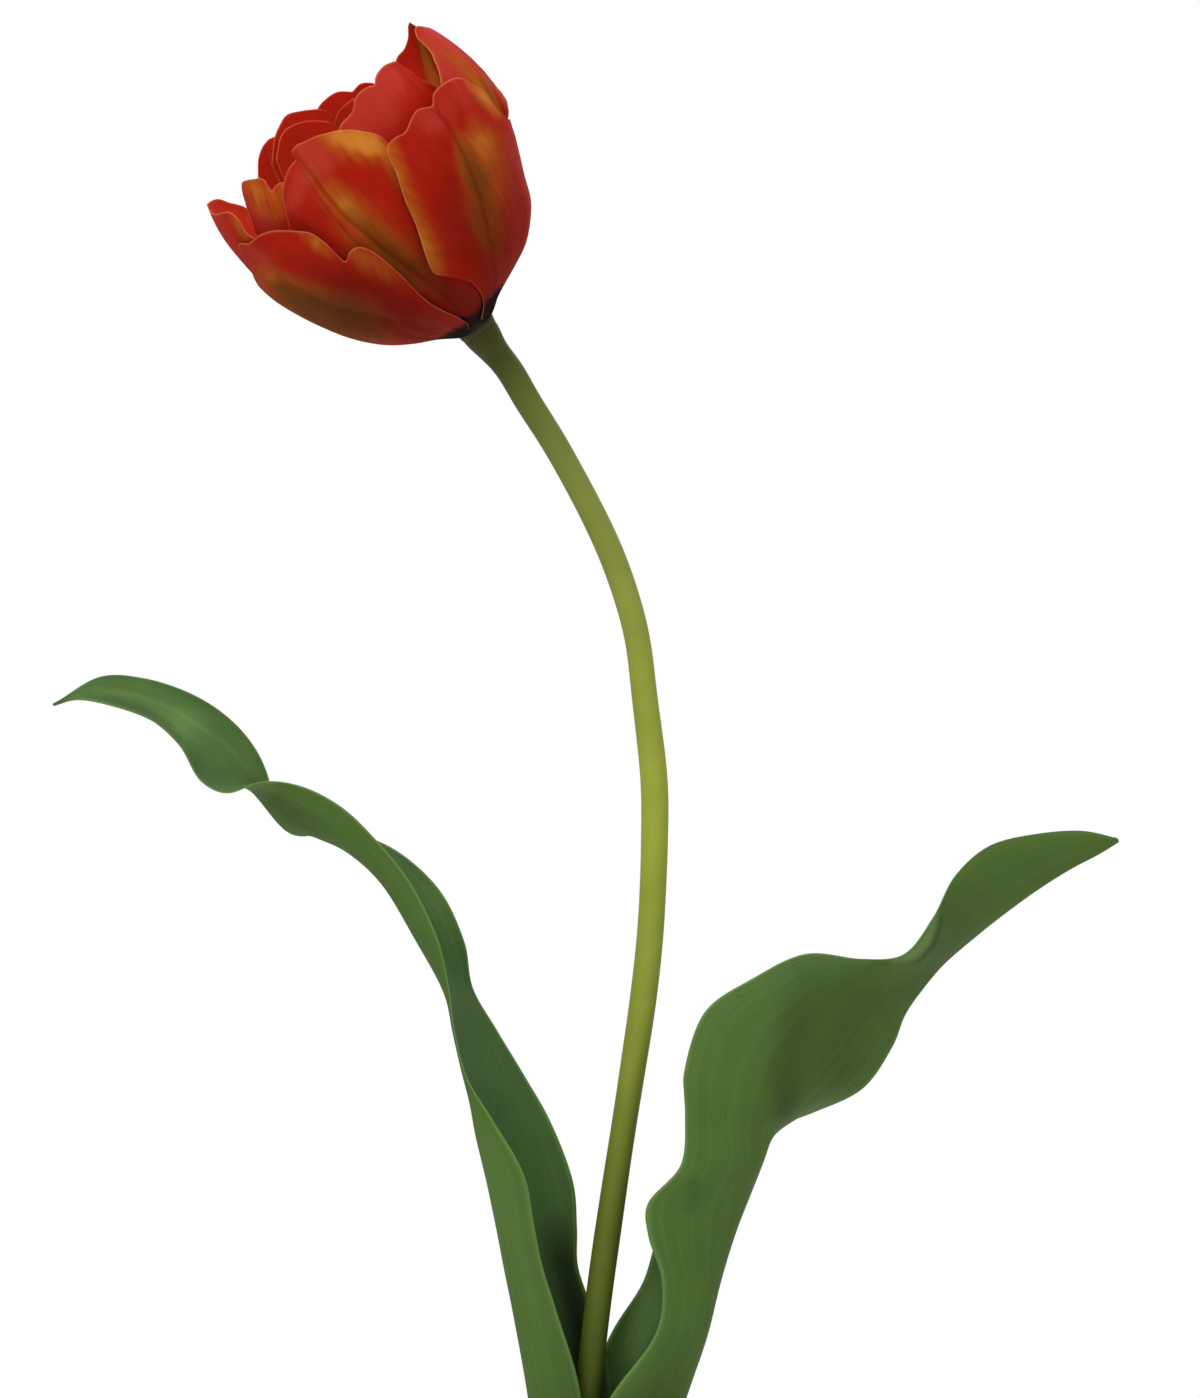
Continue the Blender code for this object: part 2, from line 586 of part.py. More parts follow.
def petals():
    """All petals, from the outermost layer to the innermost."""
    front_right = [(434, 274), (422, 243), (406, 203), (395, 170), (388, 147), (405, 132)]
    front_right += [(416, 112), (436, 99), (465, 81), (486, 97), (509, 124)]
    front_right += [(519, 149), (526, 200), (527, 231)]
    front_left = [(409, 345), (351, 336), (300, 317), (260, 289), (248, 262), (254, 239)]
    front_left += [(286, 230), (316, 237), (346, 261), (363, 250), (400, 278), (447, 315)]
    middle = [(300, 262), (290, 230), (283, 204), (288, 172), (291, 153), (321, 137)]
    middle += [(352, 130), (387, 142), (404, 180), (420, 225), (436, 262)]
    left_inner = [(258, 240), (247, 210), (242, 184), (262, 179), (272, 189), (284, 182), (300, 190)]
    left_inner += [(310, 240)]
    pink = [(336, 175), (339, 130), (355, 108), (362, 91), (378, 74), (395, 61), (420, 78)]
    pink += [(450, 100), (470, 150)]
    back_left = [(300, 175), (292, 150), (275, 137), (263, 146), (259, 160), (262, 190)]
    back_middle = [(345, 150), (336, 118), (316, 109), (287, 115), (280, 125), (272, 165)]
    back_right = [(395, 110), (380, 84), (362, 83), (345, 91), (326, 99), (312, 140)]
    nested_middle = [(340, 150), (333, 124), (321, 121), (306, 121), (291, 126), (281, 136), (276, 160)]
    nested_right = [(392, 130), (380, 98), (362, 95), (347, 103), (339, 111), (335, 121), (331, 145)]
    right_outline = [(70, 18.0), (56, 34.0)]
    right_outline += outline_from_picture(0, 92, [(441, 85), (430, 54), (418, 28)])
    right_outline += [(96, 69.0), (112, 61.0), (126, 46.0), (130, 30.0), (116, 14.0)]
    left_outline = [(-142, 16.0), (-150, 36.0)]
    left_outline += outline_from_picture(1, -102, [(262, 234), (246, 210), (230, 203), (217, 199)], True)
    left_outline += outline_from_picture(0, -102, [(205, 206), (215, 214), (226, 212), (241, 223)])
    left_outline += [(-56, 46.0), (-58, 30.0), (-72, 14.0)]
    spike_outline = [(92, 18.0), (94, 48.0)]
    spike = [(417, 33), (411, 21), (409, 36), (403, 50), (394, 63)]
    spike_outline += outline_from_picture(1, 122, spike, True)
    spike_outline += [(156, 44.0), (150, 18.0)]
    found = [
        Petal(0, 47, outline_from_picture(0, 47, front_right) + [(112, 20.0), (92, 9.0)], 7),
        Petal(0, -62, [(-64, 6.0)] + outline_from_picture(0, -62, front_left)[1:], 5),
        Petal(0, 172, plain_outline(172, 52, 62.0), 6),
        Petal(1, -16, outline_from_picture(1, -16, middle), 4),
        Petal(1, 92, right_outline, 4, flare=0.9, bulge=2.6),
        Petal(1, -102, left_outline, 6, flare=1.8, bulge=0.8),
        Petal(2, -66, outline_from_picture(2, -66, left_inner), 3),
        Petal(2, 33, outline_from_picture(2, 33, pink), 5),
        Petal(1.5, 122, spike_outline, 3, flare=1.5),
        Petal(2, -141, outline_from_picture(2, -141, back_left, True), 3),
        Petal(3, -173, outline_from_picture(3, -173, back_middle, True), 2),
        Petal(2.5, 160, outline_from_picture(2.5, 160, back_right, True), 3),
        Petal(3.6, -171, outline_from_picture(3.6, -171, nested_middle, True), 3),
        Petal(3.2, 158, outline_from_picture(3.2, 158, nested_right, True), 2),
    ]
    for turn, height in ((-8, 56.0), (66, 60.0), (-96, 58.0)):
        found.append(Petal(3, turn, plain_outline(turn, 36, height), 6))
    inner = ((20, 54.0, 4.0), (92, 55.0, 4.4), (-128, 55.0, 4.4), (-56, 54.0, 4.2))
    for turn, height, layer in inner:
        found.append(Petal(layer, turn, plain_outline(turn, 36, height), 6))
    for turn, height in ((55, 44.0), (-65, 43.0), (175, 46.0)):
        found.append(Petal(5, turn, plain_outline(turn, 50, height), 6))
    return found


def flower_core(name, material):
    """The short cone that all the petals grow from."""
    core = link_object(name, turned_mesh(name, CORE, 16), material)
    place_on_flower(core.data)
    return core


def place_on_flower(mesh):
    """Moves a mesh made round Z onto the flower's axis."""
    for vertex in mesh.vertices:
        x, y, z = vertex.co
        sideways = BLOOM_RIGHT * x + BLOOM_FRONT * -y
        vertex.co = Vector(BLOOM_BASE * METRES + sideways + BLOOM_AXIS * z)


def build_bloom(material):
    bloom = flower_core("bloom", material)
    blades = []
    for number, petal in enumerate(petals()):
        rows = petal.rows(PETAL_COLUMNS, PETAL_ROWS)
        blades.append(freeze(sheet_mesh(f"petal_{number}", rows, PETAL_THICKNESS)))
    fuse(bloom, blades, "MANIFOLD")
    return bloom


HEART_SEAT = CORE_HEIGHT + CONTACT_GAP
PISTIL = [(0.0, 0.0), (2.9, 0.0), (2.9, 1.4), (2.2, 2.6), (2.3, 14.0), (2.0, 16.5), (3.1, 18.4)]
PISTIL += [(2.6, 20.2), (0.0, 20.6)]
STAMEN = [(0.0, 0.0), (0.55, 0.0), (0.45, 9.0), (1.0, 10.0), (1.05, 16.0), (0.5, 17.6), (0.0, 17.8)]
STAMEN_COUNT = 6
STAMEN_RING = 2.0
STAMEN_SPLAY = math.radians(8.0)


def build_heart(material):
    """Pistil and stamens, which grow together from one small disc inside the flower."""
    heart = link_object("heart", turned_mesh("heart", PISTIL, 12), material)
    stamens = []
    for number in range(STAMEN_COUNT):
        mesh = turned_mesh("stamen", STAMEN, 6)
        angle = math.tau * number / STAMEN_COUNT
        for vertex in mesh.vertices:
            x, y, z = vertex.co
            leaned = x * math.cos(STAMEN_SPLAY) + z * math.sin(STAMEN_SPLAY)
            raised = z * math.cos(STAMEN_SPLAY) - x * math.sin(STAMEN_SPLAY)
            outward = leaned + STAMEN_RING * METRES
            vertex.co.x = outward * math.cos(angle) - y * math.sin(angle)
            vertex.co.y = outward * math.sin(angle) + y * math.cos(angle)
            vertex.co.z = raised + 0.7 * METRES
        blade = bpy.data.objects.new(f"stamen_{number}", mesh)
        bpy.context.scene.collection.objects.link(blade)
        stamens.append(blade)
    fuse(heart, stamens)
    for vertex in heart.data.vertices:
        vertex.co.z += HEART_SEAT * METRES
    place_on_flower(heart.data)
    return heart


def main():
    clear_scene()
    glaze = plain_material("glaze", (0.82, 0.80, 0.76), 0.2)
    water = plain_material("water", (0.75, 0.85, 0.88), 0.05)
    stem_green = plain_material("stem_green", (0.20, 0.27, 0.06), 0.45)
    leaf_green = plain_material("leaf_green", (0.07, 0.15, 0.04), 0.5)
    petal_red = plain_material("petal_red", (0.50, 0.03, 0.01), 0.5)
    heart_dark = plain_material("heart_dark", (0.10, 0.12, 0.04), 0.6)
    build_vase(glaze)
    build_water(water)
    build_stem(stem_green)
    build_leaf("leaf_left", LEFT_LEAF_BASE, LEFT_LEAF, leaf_green)
    build_leaf("leaf_right", RIGHT_LEAF_BASE, RIGHT_LEAF, leaf_green)
    build_bloom(petal_red)
    build_heart(heart_dark)


main()
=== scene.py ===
"""The looks of a cut double tulip standing in water in a plain glazed vase.

Lengths are worked out in millimetres and become metres where a mesh is made. What the picture
shows is given in pixels of its 1200 x 1398 frame and laid at its real place by Picture. The
tulip's shapes follow the same rules as its solids, with finer edges, folds and creases.
"""

import logging
import math
from collections.abc import Iterable, Sequence
from dataclasses import dataclass, field
from enum import Enum

import bpy
import numpy as np
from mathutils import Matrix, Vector


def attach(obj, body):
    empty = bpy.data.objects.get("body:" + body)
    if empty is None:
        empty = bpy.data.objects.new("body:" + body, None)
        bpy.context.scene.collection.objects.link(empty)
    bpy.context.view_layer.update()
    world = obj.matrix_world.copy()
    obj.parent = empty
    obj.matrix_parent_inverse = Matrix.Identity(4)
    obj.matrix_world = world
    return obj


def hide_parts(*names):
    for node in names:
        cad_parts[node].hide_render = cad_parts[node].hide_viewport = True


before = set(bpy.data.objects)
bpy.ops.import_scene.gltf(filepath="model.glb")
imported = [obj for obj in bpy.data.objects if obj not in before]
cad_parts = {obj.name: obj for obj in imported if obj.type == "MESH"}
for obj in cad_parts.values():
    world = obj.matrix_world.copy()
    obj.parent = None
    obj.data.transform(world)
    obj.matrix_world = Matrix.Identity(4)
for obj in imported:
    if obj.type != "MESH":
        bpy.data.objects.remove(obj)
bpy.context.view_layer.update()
LOG = logging.getLogger("tulip")
METRES = 0.001
BODY = "root"

Pixel = tuple[float, float]
Colour = tuple[float, float, float]
Place = tuple[float, float, float]
Line = Sequence[tuple[float, ...]]
Piece = bpy.types.Object
Socket = bpy.types.NodeSocket
Sockets = bpy.types.bpy_prop_collection
Inputs = dict[str | int, object]


def eased(share: np.ndarray | float) -> np.ndarray:
    """Steps smoothly from 0 to 1 with the share, and stays level beyond."""
    held = np.clip(share, 0.0, 1.0)
    return held * held * (3.0 - 2.0 * held)


def walked_along(path: np.ndarray) -> np.ndarray:
    """The way along a path to each of its points, from 0."""
    return np.concatenate([[0.0], np.cumsum(np.linalg.norm(np.diff(path, axis=0), axis=1))])


def smooth_path(points: Line, count: int) -> np.ndarray:
    """Spreads points evenly along a Catmull-Rom curve through the given ones.

    Args:
        points: The points that the curve passes through.
        count: How many points to return.

    Returns:
        An array of count rows.
    """
    steps = 24
    given = np.asarray(points, float)
    gaps = np.linalg.norm(np.diff(given, axis=0), axis=1) ** 0.5
    padded = np.vstack([2 * given[0] - given[1], given, 2 * given[-1] - given[-2]])
    knots = np.concatenate([[0.0], np.cumsum(gaps)])
    times = np.concatenate([[-gaps[0]], knots, [knots[-1] + gaps[-1]]])
    fine = []
    for first in range(len(given) - 1):
        level, knot = padded[first : first + 4], times[first : first + 4]
        t = np.linspace(knot[1], knot[2], steps, endpoint=False)[:, None]
        for spans in (((0, 1), (1, 2), (2, 3)), ((0, 2), (1, 3)), ((1, 2),)):
            level = [
                (knot[b] - t) / (knot[b] - knot[a]) * lower + (t - knot[a]) / (knot[b] - knot[a]) * upper
                for (a, b), lower, upper in zip(spans, level, level[1:])
            ]
        fine.append(level[0])
    curve = np.vstack([*fine, given[-1:]])
    walked = walked_along(curve)
    wanted = np.linspace(0.0, walked[-1], count)
    return np.column_stack([np.interp(wanted, walked, column) for column in curve.T])


def add_object(name: str, data: bpy.types.ID) -> Piece:
    """Adds an object to the scene, at the origin.

    Args:
        name: Its name.
        data: Its mesh, light or camera.

    Returns:
        The object.
    """
    item = bpy.data.objects.new(name, data)
    bpy.context.scene.collection.objects.link(item)
    return item


@dataclass(frozen=True)
class Picture:
    """Where the picture's frame lies in the real world.

    The frame's bottom is at the height bottom_z and its column axis_x at X = 0, in the plane
    Y = 0. The viewer stands at distance from that plane and looks along +Y.
    """

    width: float = 1200.0
    height: float = 1398.0
    pixel: float = 0.25
    bottom_z: float = 196.0
    axis_x: float = 607.0
    distance: float = 2400.0

    @property
    def middle(self) -> np.ndarray:
        """X and Z of the middle of the frame."""
        x = (self.width / 2 - self.axis_x) * self.pixel
        return np.array([x, self.bottom_z + self.height / 2 * self.pixel])

    def seen_at(self, x: float, y: float, depth: float = 0.0) -> np.ndarray:
        """Finds the real place of a pixel.

        Args:
            x: The pixel's column.
            y: The pixel's row.
            depth: How far behind the stem's plane the place lies.

        Returns:
            The point, in millimetres.
        """
        scale = self.pixel * (self.distance + depth) / self.distance
        across = self.middle[0] + (x - self.width / 2) * scale
        return np.array([across, depth, self.middle[1] - (y - self.height / 2) * scale])

    def pixels_of(self, points: np.ndarray) -> np.ndarray:
        """Finds the pixels at which points show.

        Args:
            points: Places in millimetres, with the three coordinates last.

        Returns:
            The pixels, with column and row last.
        """
        scale = self.pixel * (self.distance + points[..., 1]) / self.distance
        x = self.width / 2 + (points[..., 0] - self.middle[0]) / scale
        return np.stack([x, self.height / 2 - (points[..., 2] - self.middle[1]) / scale], axis=-1)


PICTURE = Picture()


# Blades: petals and leaves


class Tint(Enum):
    """What a soft brush line tints on a petal or a leaf.

    BARE lets the outer face's tints show on the inner face too.
    """

    FLAME = "olive"
    # Painted shade that darkens the olive flame where the petal faces down.
    SHADE_ON_OLIVE = "shade_on_olive"
    BARE = "bare"
    # Gold flame colour on petals; painted light on leaves and on petal parts in shade.
    GOLD_AND_LIGHT = "gold_and_light"
    # Pink colour, and painted highlight on the lit upper parts of the front petals.
    PINK_AND_HIGHLIGHT = "pink_and_highlight"
    DARK = "dark"
    # Painted shade on petals and leaves.
    SHADE = "shade"


@dataclass(frozen=True)
class Stroke:
    """A soft brush line across a blade.

    Each of its points is (column, row, half width) in pixels of the picture, or those and the
    line's weight there.
    """

    tint: Tint
    line: Line
    strength: float = 1.0

    def mask(self, pixels: np.ndarray) -> np.ndarray:
        """Says how strongly the line tints each place.

        Args:
            pixels: Where the blade's points show, with column and row last.

        Returns:
            The strength at each point.
        """
        line = np.asarray(self.line, float)
        if line.shape[1] == 3:
            line = np.column_stack([line, np.ones(len(line))])
        if len(line) == 1:
            line = np.vstack([line, line + [0.01, 0.0, 0.0, 0.0]])
        shown = np.zeros(pixels.shape[:-1])
        for start, end in zip(line, line[1:]):
            along = end[:2] - start[:2]
            share = np.clip(((pixels - start[:2]) @ along) / (along @ along), 0.0, 1.0)
            foot = start[:2] + share[..., None] * along
            reach = np.linalg.norm(pixels - foot, axis=-1) / (start[2] + share * (end[2] - start[2]))
            weight = start[3] + share * (end[3] - start[3])
            shown = np.maximum(shown, weight * np.exp(-(reach**2.4)))
        return self.strength * shown


def painted(strokes: Iterable[Stroke], tint: Tint, pixels: np.ndarray) -> np.ndarray:
    """Joins all brush lines of one tint softly.

    Args:
        strokes: The brush lines.
        tint: The tint that is wanted.
        pixels: Where the blade's points show, with column and row last.

    Returns:
        The tint's mask.
    """
    bare = np.ones(pixels.shape[:-1])
    for stroke in strokes:
        if stroke.tint is tint:
            bare = bare * (1.0 - stroke.mask(pixels))
    return 1.0 - bare


@dataclass
class Blade:
    """A thin closed sheet on a grid of points, with its own UV map and tint masks.

    The grid's rows run from the root to the edge or tip. The first face looks along the cross
    product of a step between columns and a step between rows.
    """

    name: str
    points: np.ndarray
    thickness: np.ndarray
    masks: dict[str, np.ndarray]
    first_is_inside: bool = False

    def normals(self) -> np.ndarray:
        """The direction in which the first face looks, at each point."""
        facing = np.cross(np.gradient(self.points, axis=1), np.gradient(self.points, axis=0))
        return facing / np.maximum(np.linalg.norm(facing, axis=-1, keepdims=True), 1e-9)

    def faces(self) -> np.ndarray:
        """Joins the points into quads, for both faces and the thin wall round the border.

        Returns:
            Four point numbers for each quad.
        """
        rows, columns = self.points.shape[:2]
        index = np.arange(rows * columns).reshape(rows, columns)
        near = np.stack([index[:-1, :-1], index[:-1, 1:], index[1:, 1:], index[1:, :-1]], axis=-1)
        near = near.reshape(-1, 4)
        far = near[:, ::-1] + rows * columns
        border = np.concatenate([index[0, :], index[1:, -1], index[-1, -2::-1], index[-2:0:-1, 0]])
        after = np.roll(border, -1)
        wall = np.stack([border, border + rows * columns, after + rows * columns, after], axis=-1)
        return np.vstack([near, far, wall])

    def build(self) -> Piece:
        """Makes the mesh object.

        Returns:
            The object, at the origin, in metres.
        """
        rows, columns = self.points.shape[:2]
        offset = self.normals() * self.thickness[..., None] / 2
        both = np.stack([self.points + offset, self.points - offset]).reshape(-1, 3)
        faces = self.faces()
        mesh = bpy.data.meshes.new(self.name)
        mesh.from_pydata((both * METRES).tolist(), [], faces.tolist())
        across, along = np.meshgrid(np.linspace(0.0, 1.0, columns), np.linspace(0.0, 1.0, rows))
        flat = np.tile(np.column_stack([across.ravel(), along.ravel()]), (2, 1))
        layer = mesh.uv_layers.new(name="UVMap")
        layer.data.foreach_set("uv", flat[faces.ravel()].ravel().astype(np.float32))
        second = np.repeat([0.0, 1.0], rows * columns)
        self.store(mesh, "inside", 1.0 - second if self.first_is_inside else second)
        for name, values in self.masks.items():
            self.store(mesh, name, np.tile(values.ravel(), 2))
        mesh.shade_smooth()
        return add_object(self.name, mesh)

    @staticmethod
    def store(mesh: bpy.types.Mesh, name: str, values: np.ndarray) -> None:
        """Stores one number for each point of a mesh, under a name."""
        attribute = mesh.attributes.new(name, "FLOAT", "POINT")
        attribute.data.foreach_set("value", values.astype(np.float32))


# Node trees


class NodeBench:
    """A short way to set up the nodes of a material or a node group."""

    def __init__(self, tree: bpy.types.NodeTree) -> None:
        """Starts on a tree and clears it."""
        self.tree = tree
        tree.nodes.clear()

    def add(self, kind: str, inputs: Inputs | None = None, **settings: object) -> bpy.types.Node:
        """Adds a node.

        Args:
            kind: The node's type name.
            inputs: What each input socket holds: a value, or an output socket to link from.
            **settings: The node's own properties.

        Returns:
            The new node.
        """
        node = self.tree.nodes.new(kind)
        for name, value in settings.items():
            setattr(node, name, value)
        for key, value in (inputs or {}).items():
            socket = node.inputs[key]
            if isinstance(value, Socket):
                self.tree.links.new(value, socket)
            elif isinstance(value, tuple) and len(value) == 3 and socket.type == "RGBA":
                socket.default_value = (*value, 1.0)
            else:
                socket.default_value = value
        return node

    def result(self, kind: str, inputs: Inputs | None = None, **settings: object) -> Socket:
        """Adds a node and gives its first output."""
        return self.add(kind, inputs, **settings).outputs[0]

    def calculate(self, operation: str, *values: object) -> Socket:
        """Adds a Math node and gives its result."""
        return self.result("ShaderNodeMath", dict(enumerate(values)), operation=operation)

    def times(self, first: object, second: object) -> Socket:
        """Multiplies two values."""
        return self.calculate("MULTIPLY", first, second)

    def ramp(self, value: object, slope: object, start: object) -> Socket:
        """Gives start and so many times the value."""
        return self.calculate("MULTIPLY_ADD", value, slope, start)

    def edge(self, value: object, low: float, high: float) -> Socket:
        """Turns a value into a soft-edged mask that starts at low and is full at high."""
        inputs = {"Value": value, "From Min": low, "From Max": high}
        return self.result("ShaderNodeMapRange", inputs, interpolation_type="SMOOTHSTEP")

    def blend(self, share: object, first: object, second: object) -> Socket:
        """Mixes that share of the second colour into the first."""
        return self.add("ShaderNodeMix", {0: share, 6: first, 7: second}, data_type="RGBA").outputs[2]

    def toned(self, colour: object, tone: object) -> Socket:
        """Makes a colour so many times as bright."""
        return self.result("ShaderNodeVectorMath", {0: colour, "Scale": tone}, operation="SCALE")

    def attribute(self, name: str) -> Socket:
        """Reads a number that is stored on the mesh, by its name."""
        return self.add("ShaderNodeAttribute", attribute_name=name).outputs["Fac"]

    def place(self) -> Socket:
        """The place on the piece, in metres."""
        return self.add("ShaderNodeTexCoord").outputs["Object"]

    def noise(self, place: object, scale: object, detail: float) -> Socket:
        """Gives a cloudy noise between 0 and 1."""
        return self.result("ShaderNodeTexNoise", {"Vector": place, "Scale": scale, "Detail": detail})

    def bump(self, strength: float, distance: float, height: object) -> Socket:
        """Gives the normals of a fine relief."""
        return self.result("ShaderNodeBump", {"Strength": strength, "Distance": distance, "Height": height})

    def group(self, tree: bpy.types.NodeTree, inputs: Inputs) -> Sockets:
        """Places a node group and gives its outputs."""
        return self.add("ShaderNodeGroup", inputs, node_tree=tree).outputs


class Library:
    """The node groups that several finishes share, each made once."""

    def __init__(self) -> None:
        """Makes the groups."""
        self.streaks = self.growth_streaks()
        self.skin = self.plant_skin()

    @staticmethod
    def start(name: str, sizes: dict[str, float], results: Sequence[str]) -> tuple[NodeBench, Sockets]:
        """Starts a shader node group that works on a place.

        Args:
            name: The group's name.
            sizes: Its other inputs, with their starting values.
            results: Its outputs, which are numbers.

        Returns:
            The bench for its nodes, and what it is given.
        """
        tree = bpy.data.node_groups.new(name, "ShaderNodeTree")
        tree.interface.new_socket("Place", in_out="INPUT", socket_type="NodeSocketVector")
        for label, start in sizes.items():
            socket = tree.interface.new_socket(label, in_out="INPUT", socket_type="NodeSocketFloat")
            socket.default_value = start
        for label in results:
            tree.interface.new_socket(label, in_out="OUTPUT", socket_type="NodeSocketFloat")
        bench = NodeBench(tree)
        return bench, bench.add("NodeGroupInput").outputs

    def growth_streaks(self) -> bpy.types.NodeTree:
        """Makes the group of streaks that run along a blade, from root to edge.

        Returns:
            A group that turns a UV place into a soft and a fine streak value between 0 and 1.
        """
        sizes = {"Across": 30.0, "Along": 1.5, "Seed": 0.0}
        bench, given = self.start("Growth streaks", sizes, ("Soft", "Fine"))
        size = bench.result("ShaderNodeCombineXYZ", {"X": given["Across"], "Y": given["Along"], "Z": 1.0})
        spread = bench.result("ShaderNodeVectorMath", {0: given["Place"], 1: size}, operation="MULTIPLY")
        shift = bench.result("ShaderNodeCombineXYZ", {"Z": given["Seed"]})
        moved = bench.result("ShaderNodeVectorMath", {0: spread, 1: shift}, operation="ADD")
        grains = (bench.noise(moved, 1.0, 3.0), bench.noise(moved, 4.0, 4.0))
        soft, fine = (bench.edge(grain, 0.25, 0.75) for grain in grains)
        bench.add("NodeGroupOutput", {"Soft": soft, "Fine": fine})
        return bench.tree

    def plant_skin(self) -> bpy.types.NodeTree:
        """Makes the group of a plant's fine skin: small cells and slow, cloudy patches.

        Returns:
            A group that turns a place in metres into a cell value and a cloud value.
        """
        sizes = {"Cell scale": 2500.0, "Cloud scale": 90.0}
        bench, given = self.start("Plant skin", sizes, ("Cells", "Clouds"))
        cells = bench.add("ShaderNodeTexVoronoi", {"Vector": given["Place"], "Scale": given["Cell scale"]})
        clouds = bench.edge(bench.noise(given["Place"], given["Cloud scale"], 4.0), 0.3, 0.7)
        bench.add("NodeGroupOutput", {"Cells": cells.outputs["Distance"], "Clouds": clouds})
        return bench.tree

    def use_streaks(self, bench: NodeBench, across: float, along: float, seed: float) -> Sockets:
        """Places the streaks on the blade's UV map: so many across and along it, and which."""
        place = bench.result("ShaderNodeUVMap", uv_map="UVMap")
        return bench.group(self.streaks, {"Place": place, "Across": across, "Along": along, "Seed": seed})

    def use_skin(self, bench: NodeBench, cell_scale: float, cloud_scale: float) -> Sockets:
        """Places the plant's skin on a piece, at the two scales."""
        inputs = {"Place": bench.place(), "Cell scale": cell_scale, "Cloud scale": cloud_scale}
        return bench.group(self.skin, inputs)


LIBRARY = Library()


# Finishes


class Finish:
    """What all finishes share: a name, and one Principled shader that look describes."""

    name: str

    def look(self, bench: NodeBench) -> Inputs:
        """Works out the shader's inputs on the material's bench."""
        raise NotImplementedError

    def material(self) -> bpy.types.Material:
        """Makes the material.

        Returns:
            The material.
        """
        material = bpy.data.materials.new(self.name)
        material.use_nodes = True
        bench = NodeBench(material.node_tree)
        shader = bench.result("ShaderNodeBsdfPrincipled", self.look(bench))
        bench.add("ShaderNodeOutputMaterial", {"Surface": shader})
        return material


@dataclass(frozen=True)
class PetalFinish(Finish):
    """Satin petals: scarlet, with gold, olive, rose and violet-black tints where they are masked, and
    painted light and shade.
    """

    name: str
    seed: float
    scarlet: Colour = (0.40, 0.0135, 0.0045)
    # Painted shade: the dark red that shade strokes lay where a petal turns away from the light or lies
    # under its neighbours.
    painted_shade_red: Colour = (0.115, 0.0070, 0.0042)
    # Rose: the petals' own pink, and a painted highlight where pink strokes lie on lit parts.
    rose: Colour = (0.47, 0.036, 0.024)
    orange: Colour = (0.43, 0.080, 0.011)
    # Gold flame colour, and painted light where gold strokes brighten shaded petal parts.
    gold_and_light: Colour = (0.62, 0.215, 0.026)
    olive: Colour = (0.205, 0.056, 0.0065)
    # Painted shade on the olive flame: a darker olive.
    shade_on_olive: Colour = (0.110, 0.035, 0.0055)
    black: Colour = (0.022, 0.013, 0.012)
    # Pale rim: partly the petal's thin pale edge and partly painted rim light.
    rim: Colour = (0.74, 0.30, 0.12)
    pale_rim_and_light_share: float = 0.38
    # The inner faces' red, brighter than the outer scarlet: partly their own colour and partly painted light
    # that stands in for light shining through the thin petals.
    lining: Colour = (0.74, 0.044, 0.018)
    lining_share: float = 0.85
    shine: Colour = (1.0, 0.45, 0.30)
    roughness: float = 0.50
    gloss: float = 0.014

    def look(self, bench: NodeBench) -> Inputs:
        """Lays the tints over the scarlet ground, with frayed edges.

        Args:
            bench: The material's bench.

        Returns:
            The shader's inputs.
        """
        streak = LIBRARY.use_streaks(bench, 16.0, 1.6, self.seed)
        thin = LIBRARY.use_streaks(bench, 60.0, 3.0, self.seed + 4.0)
        skin = LIBRARY.use_skin(bench, 2600.0, 85.0)
        fray = bench.ramp(streak["Soft"], 0.28, -0.14)
        fray = bench.ramp(thin["Soft"], 0.18, bench.calculate("SUBTRACT", fray, 0.09))
        fray = bench.ramp(skin["Clouds"], 0.16, bench.calculate("SUBTRACT", fray, 0.08))

        def area(tint: Tint, low: float, high: float) -> Socket:
            """Frays the edges of a tint's mask.

            Args:
                tint: The tint.
                low: The strength at which it starts to show.
                high: The strength at which it is full.

            Returns:
                The tint's share at each place.
            """
            mask = bench.attribute(tint.value)
            partly = bench.times(bench.edge(mask, 0.0, 0.4), bench.edge(mask, 1.15, 0.55))
            return bench.edge(bench.ramp(partly, fray, mask), low, high)

        lined = bench.ramp(bench.attribute(Tint.BARE.value), -self.lining_share, self.lining_share)
        lined = bench.times(bench.attribute("inside"), lined)
        warm = bench.calculate("MAXIMUM", area(Tint.GOLD_AND_LIGHT, 0.03, 0.66), area(Tint.FLAME, 0.03, 0.66))
        dark = area(Tint.DARK, 0.22, 0.70)
        colour = self.scarlet
        for share, tint in (
            (bench.times(skin["Clouds"], 0.15), self.rose),
            (bench.times(area(Tint.PINK_AND_HIGHLIGHT, 0.0, 0.95), 0.9), self.rose),
            (bench.times(warm, 0.92), self.orange),
            (area(Tint.GOLD_AND_LIGHT, 0.52, 1.05), self.gold_and_light),
            (area(Tint.FLAME, 0.22, 0.95), self.olive),
            (bench.attribute(Tint.SHADE_ON_OLIVE.value), self.shade_on_olive),
            (bench.times(bench.attribute(Tint.SHADE.value), 0.9), self.painted_shade_red),
            (lined, self.lining),
            (dark, self.black),
            (bench.times(bench.attribute("rim"), self.pale_rim_and_light_share), self.rim),
        ):
            colour = bench.blend(share, colour, tint)
        tone = bench.times(bench.ramp(thin["Fine"], 0.08, 0.96), bench.ramp(streak["Fine"], 0.10, 0.95))
        relief = bench.ramp(thin["Soft"], 0.8, bench.times(skin["Cells"], 0.25))
        return {
            "Base Color": bench.toned(colour, tone),
            "Roughness": bench.ramp(streak["Fine"], 0.12, self.roughness - 0.06),
            "Normal": bench.bump(0.35, 0.00012, relief),
            "Subsurface Weight": 0.2,
            "Subsurface Radius": (0.003, 0.0006, 0.0003),
            "Subsurface Scale": 0.6,
            "Specular IOR Level": bench.ramp(dark, -self.gloss, self.gloss),
            "Specular Tint": self.shine,
        }


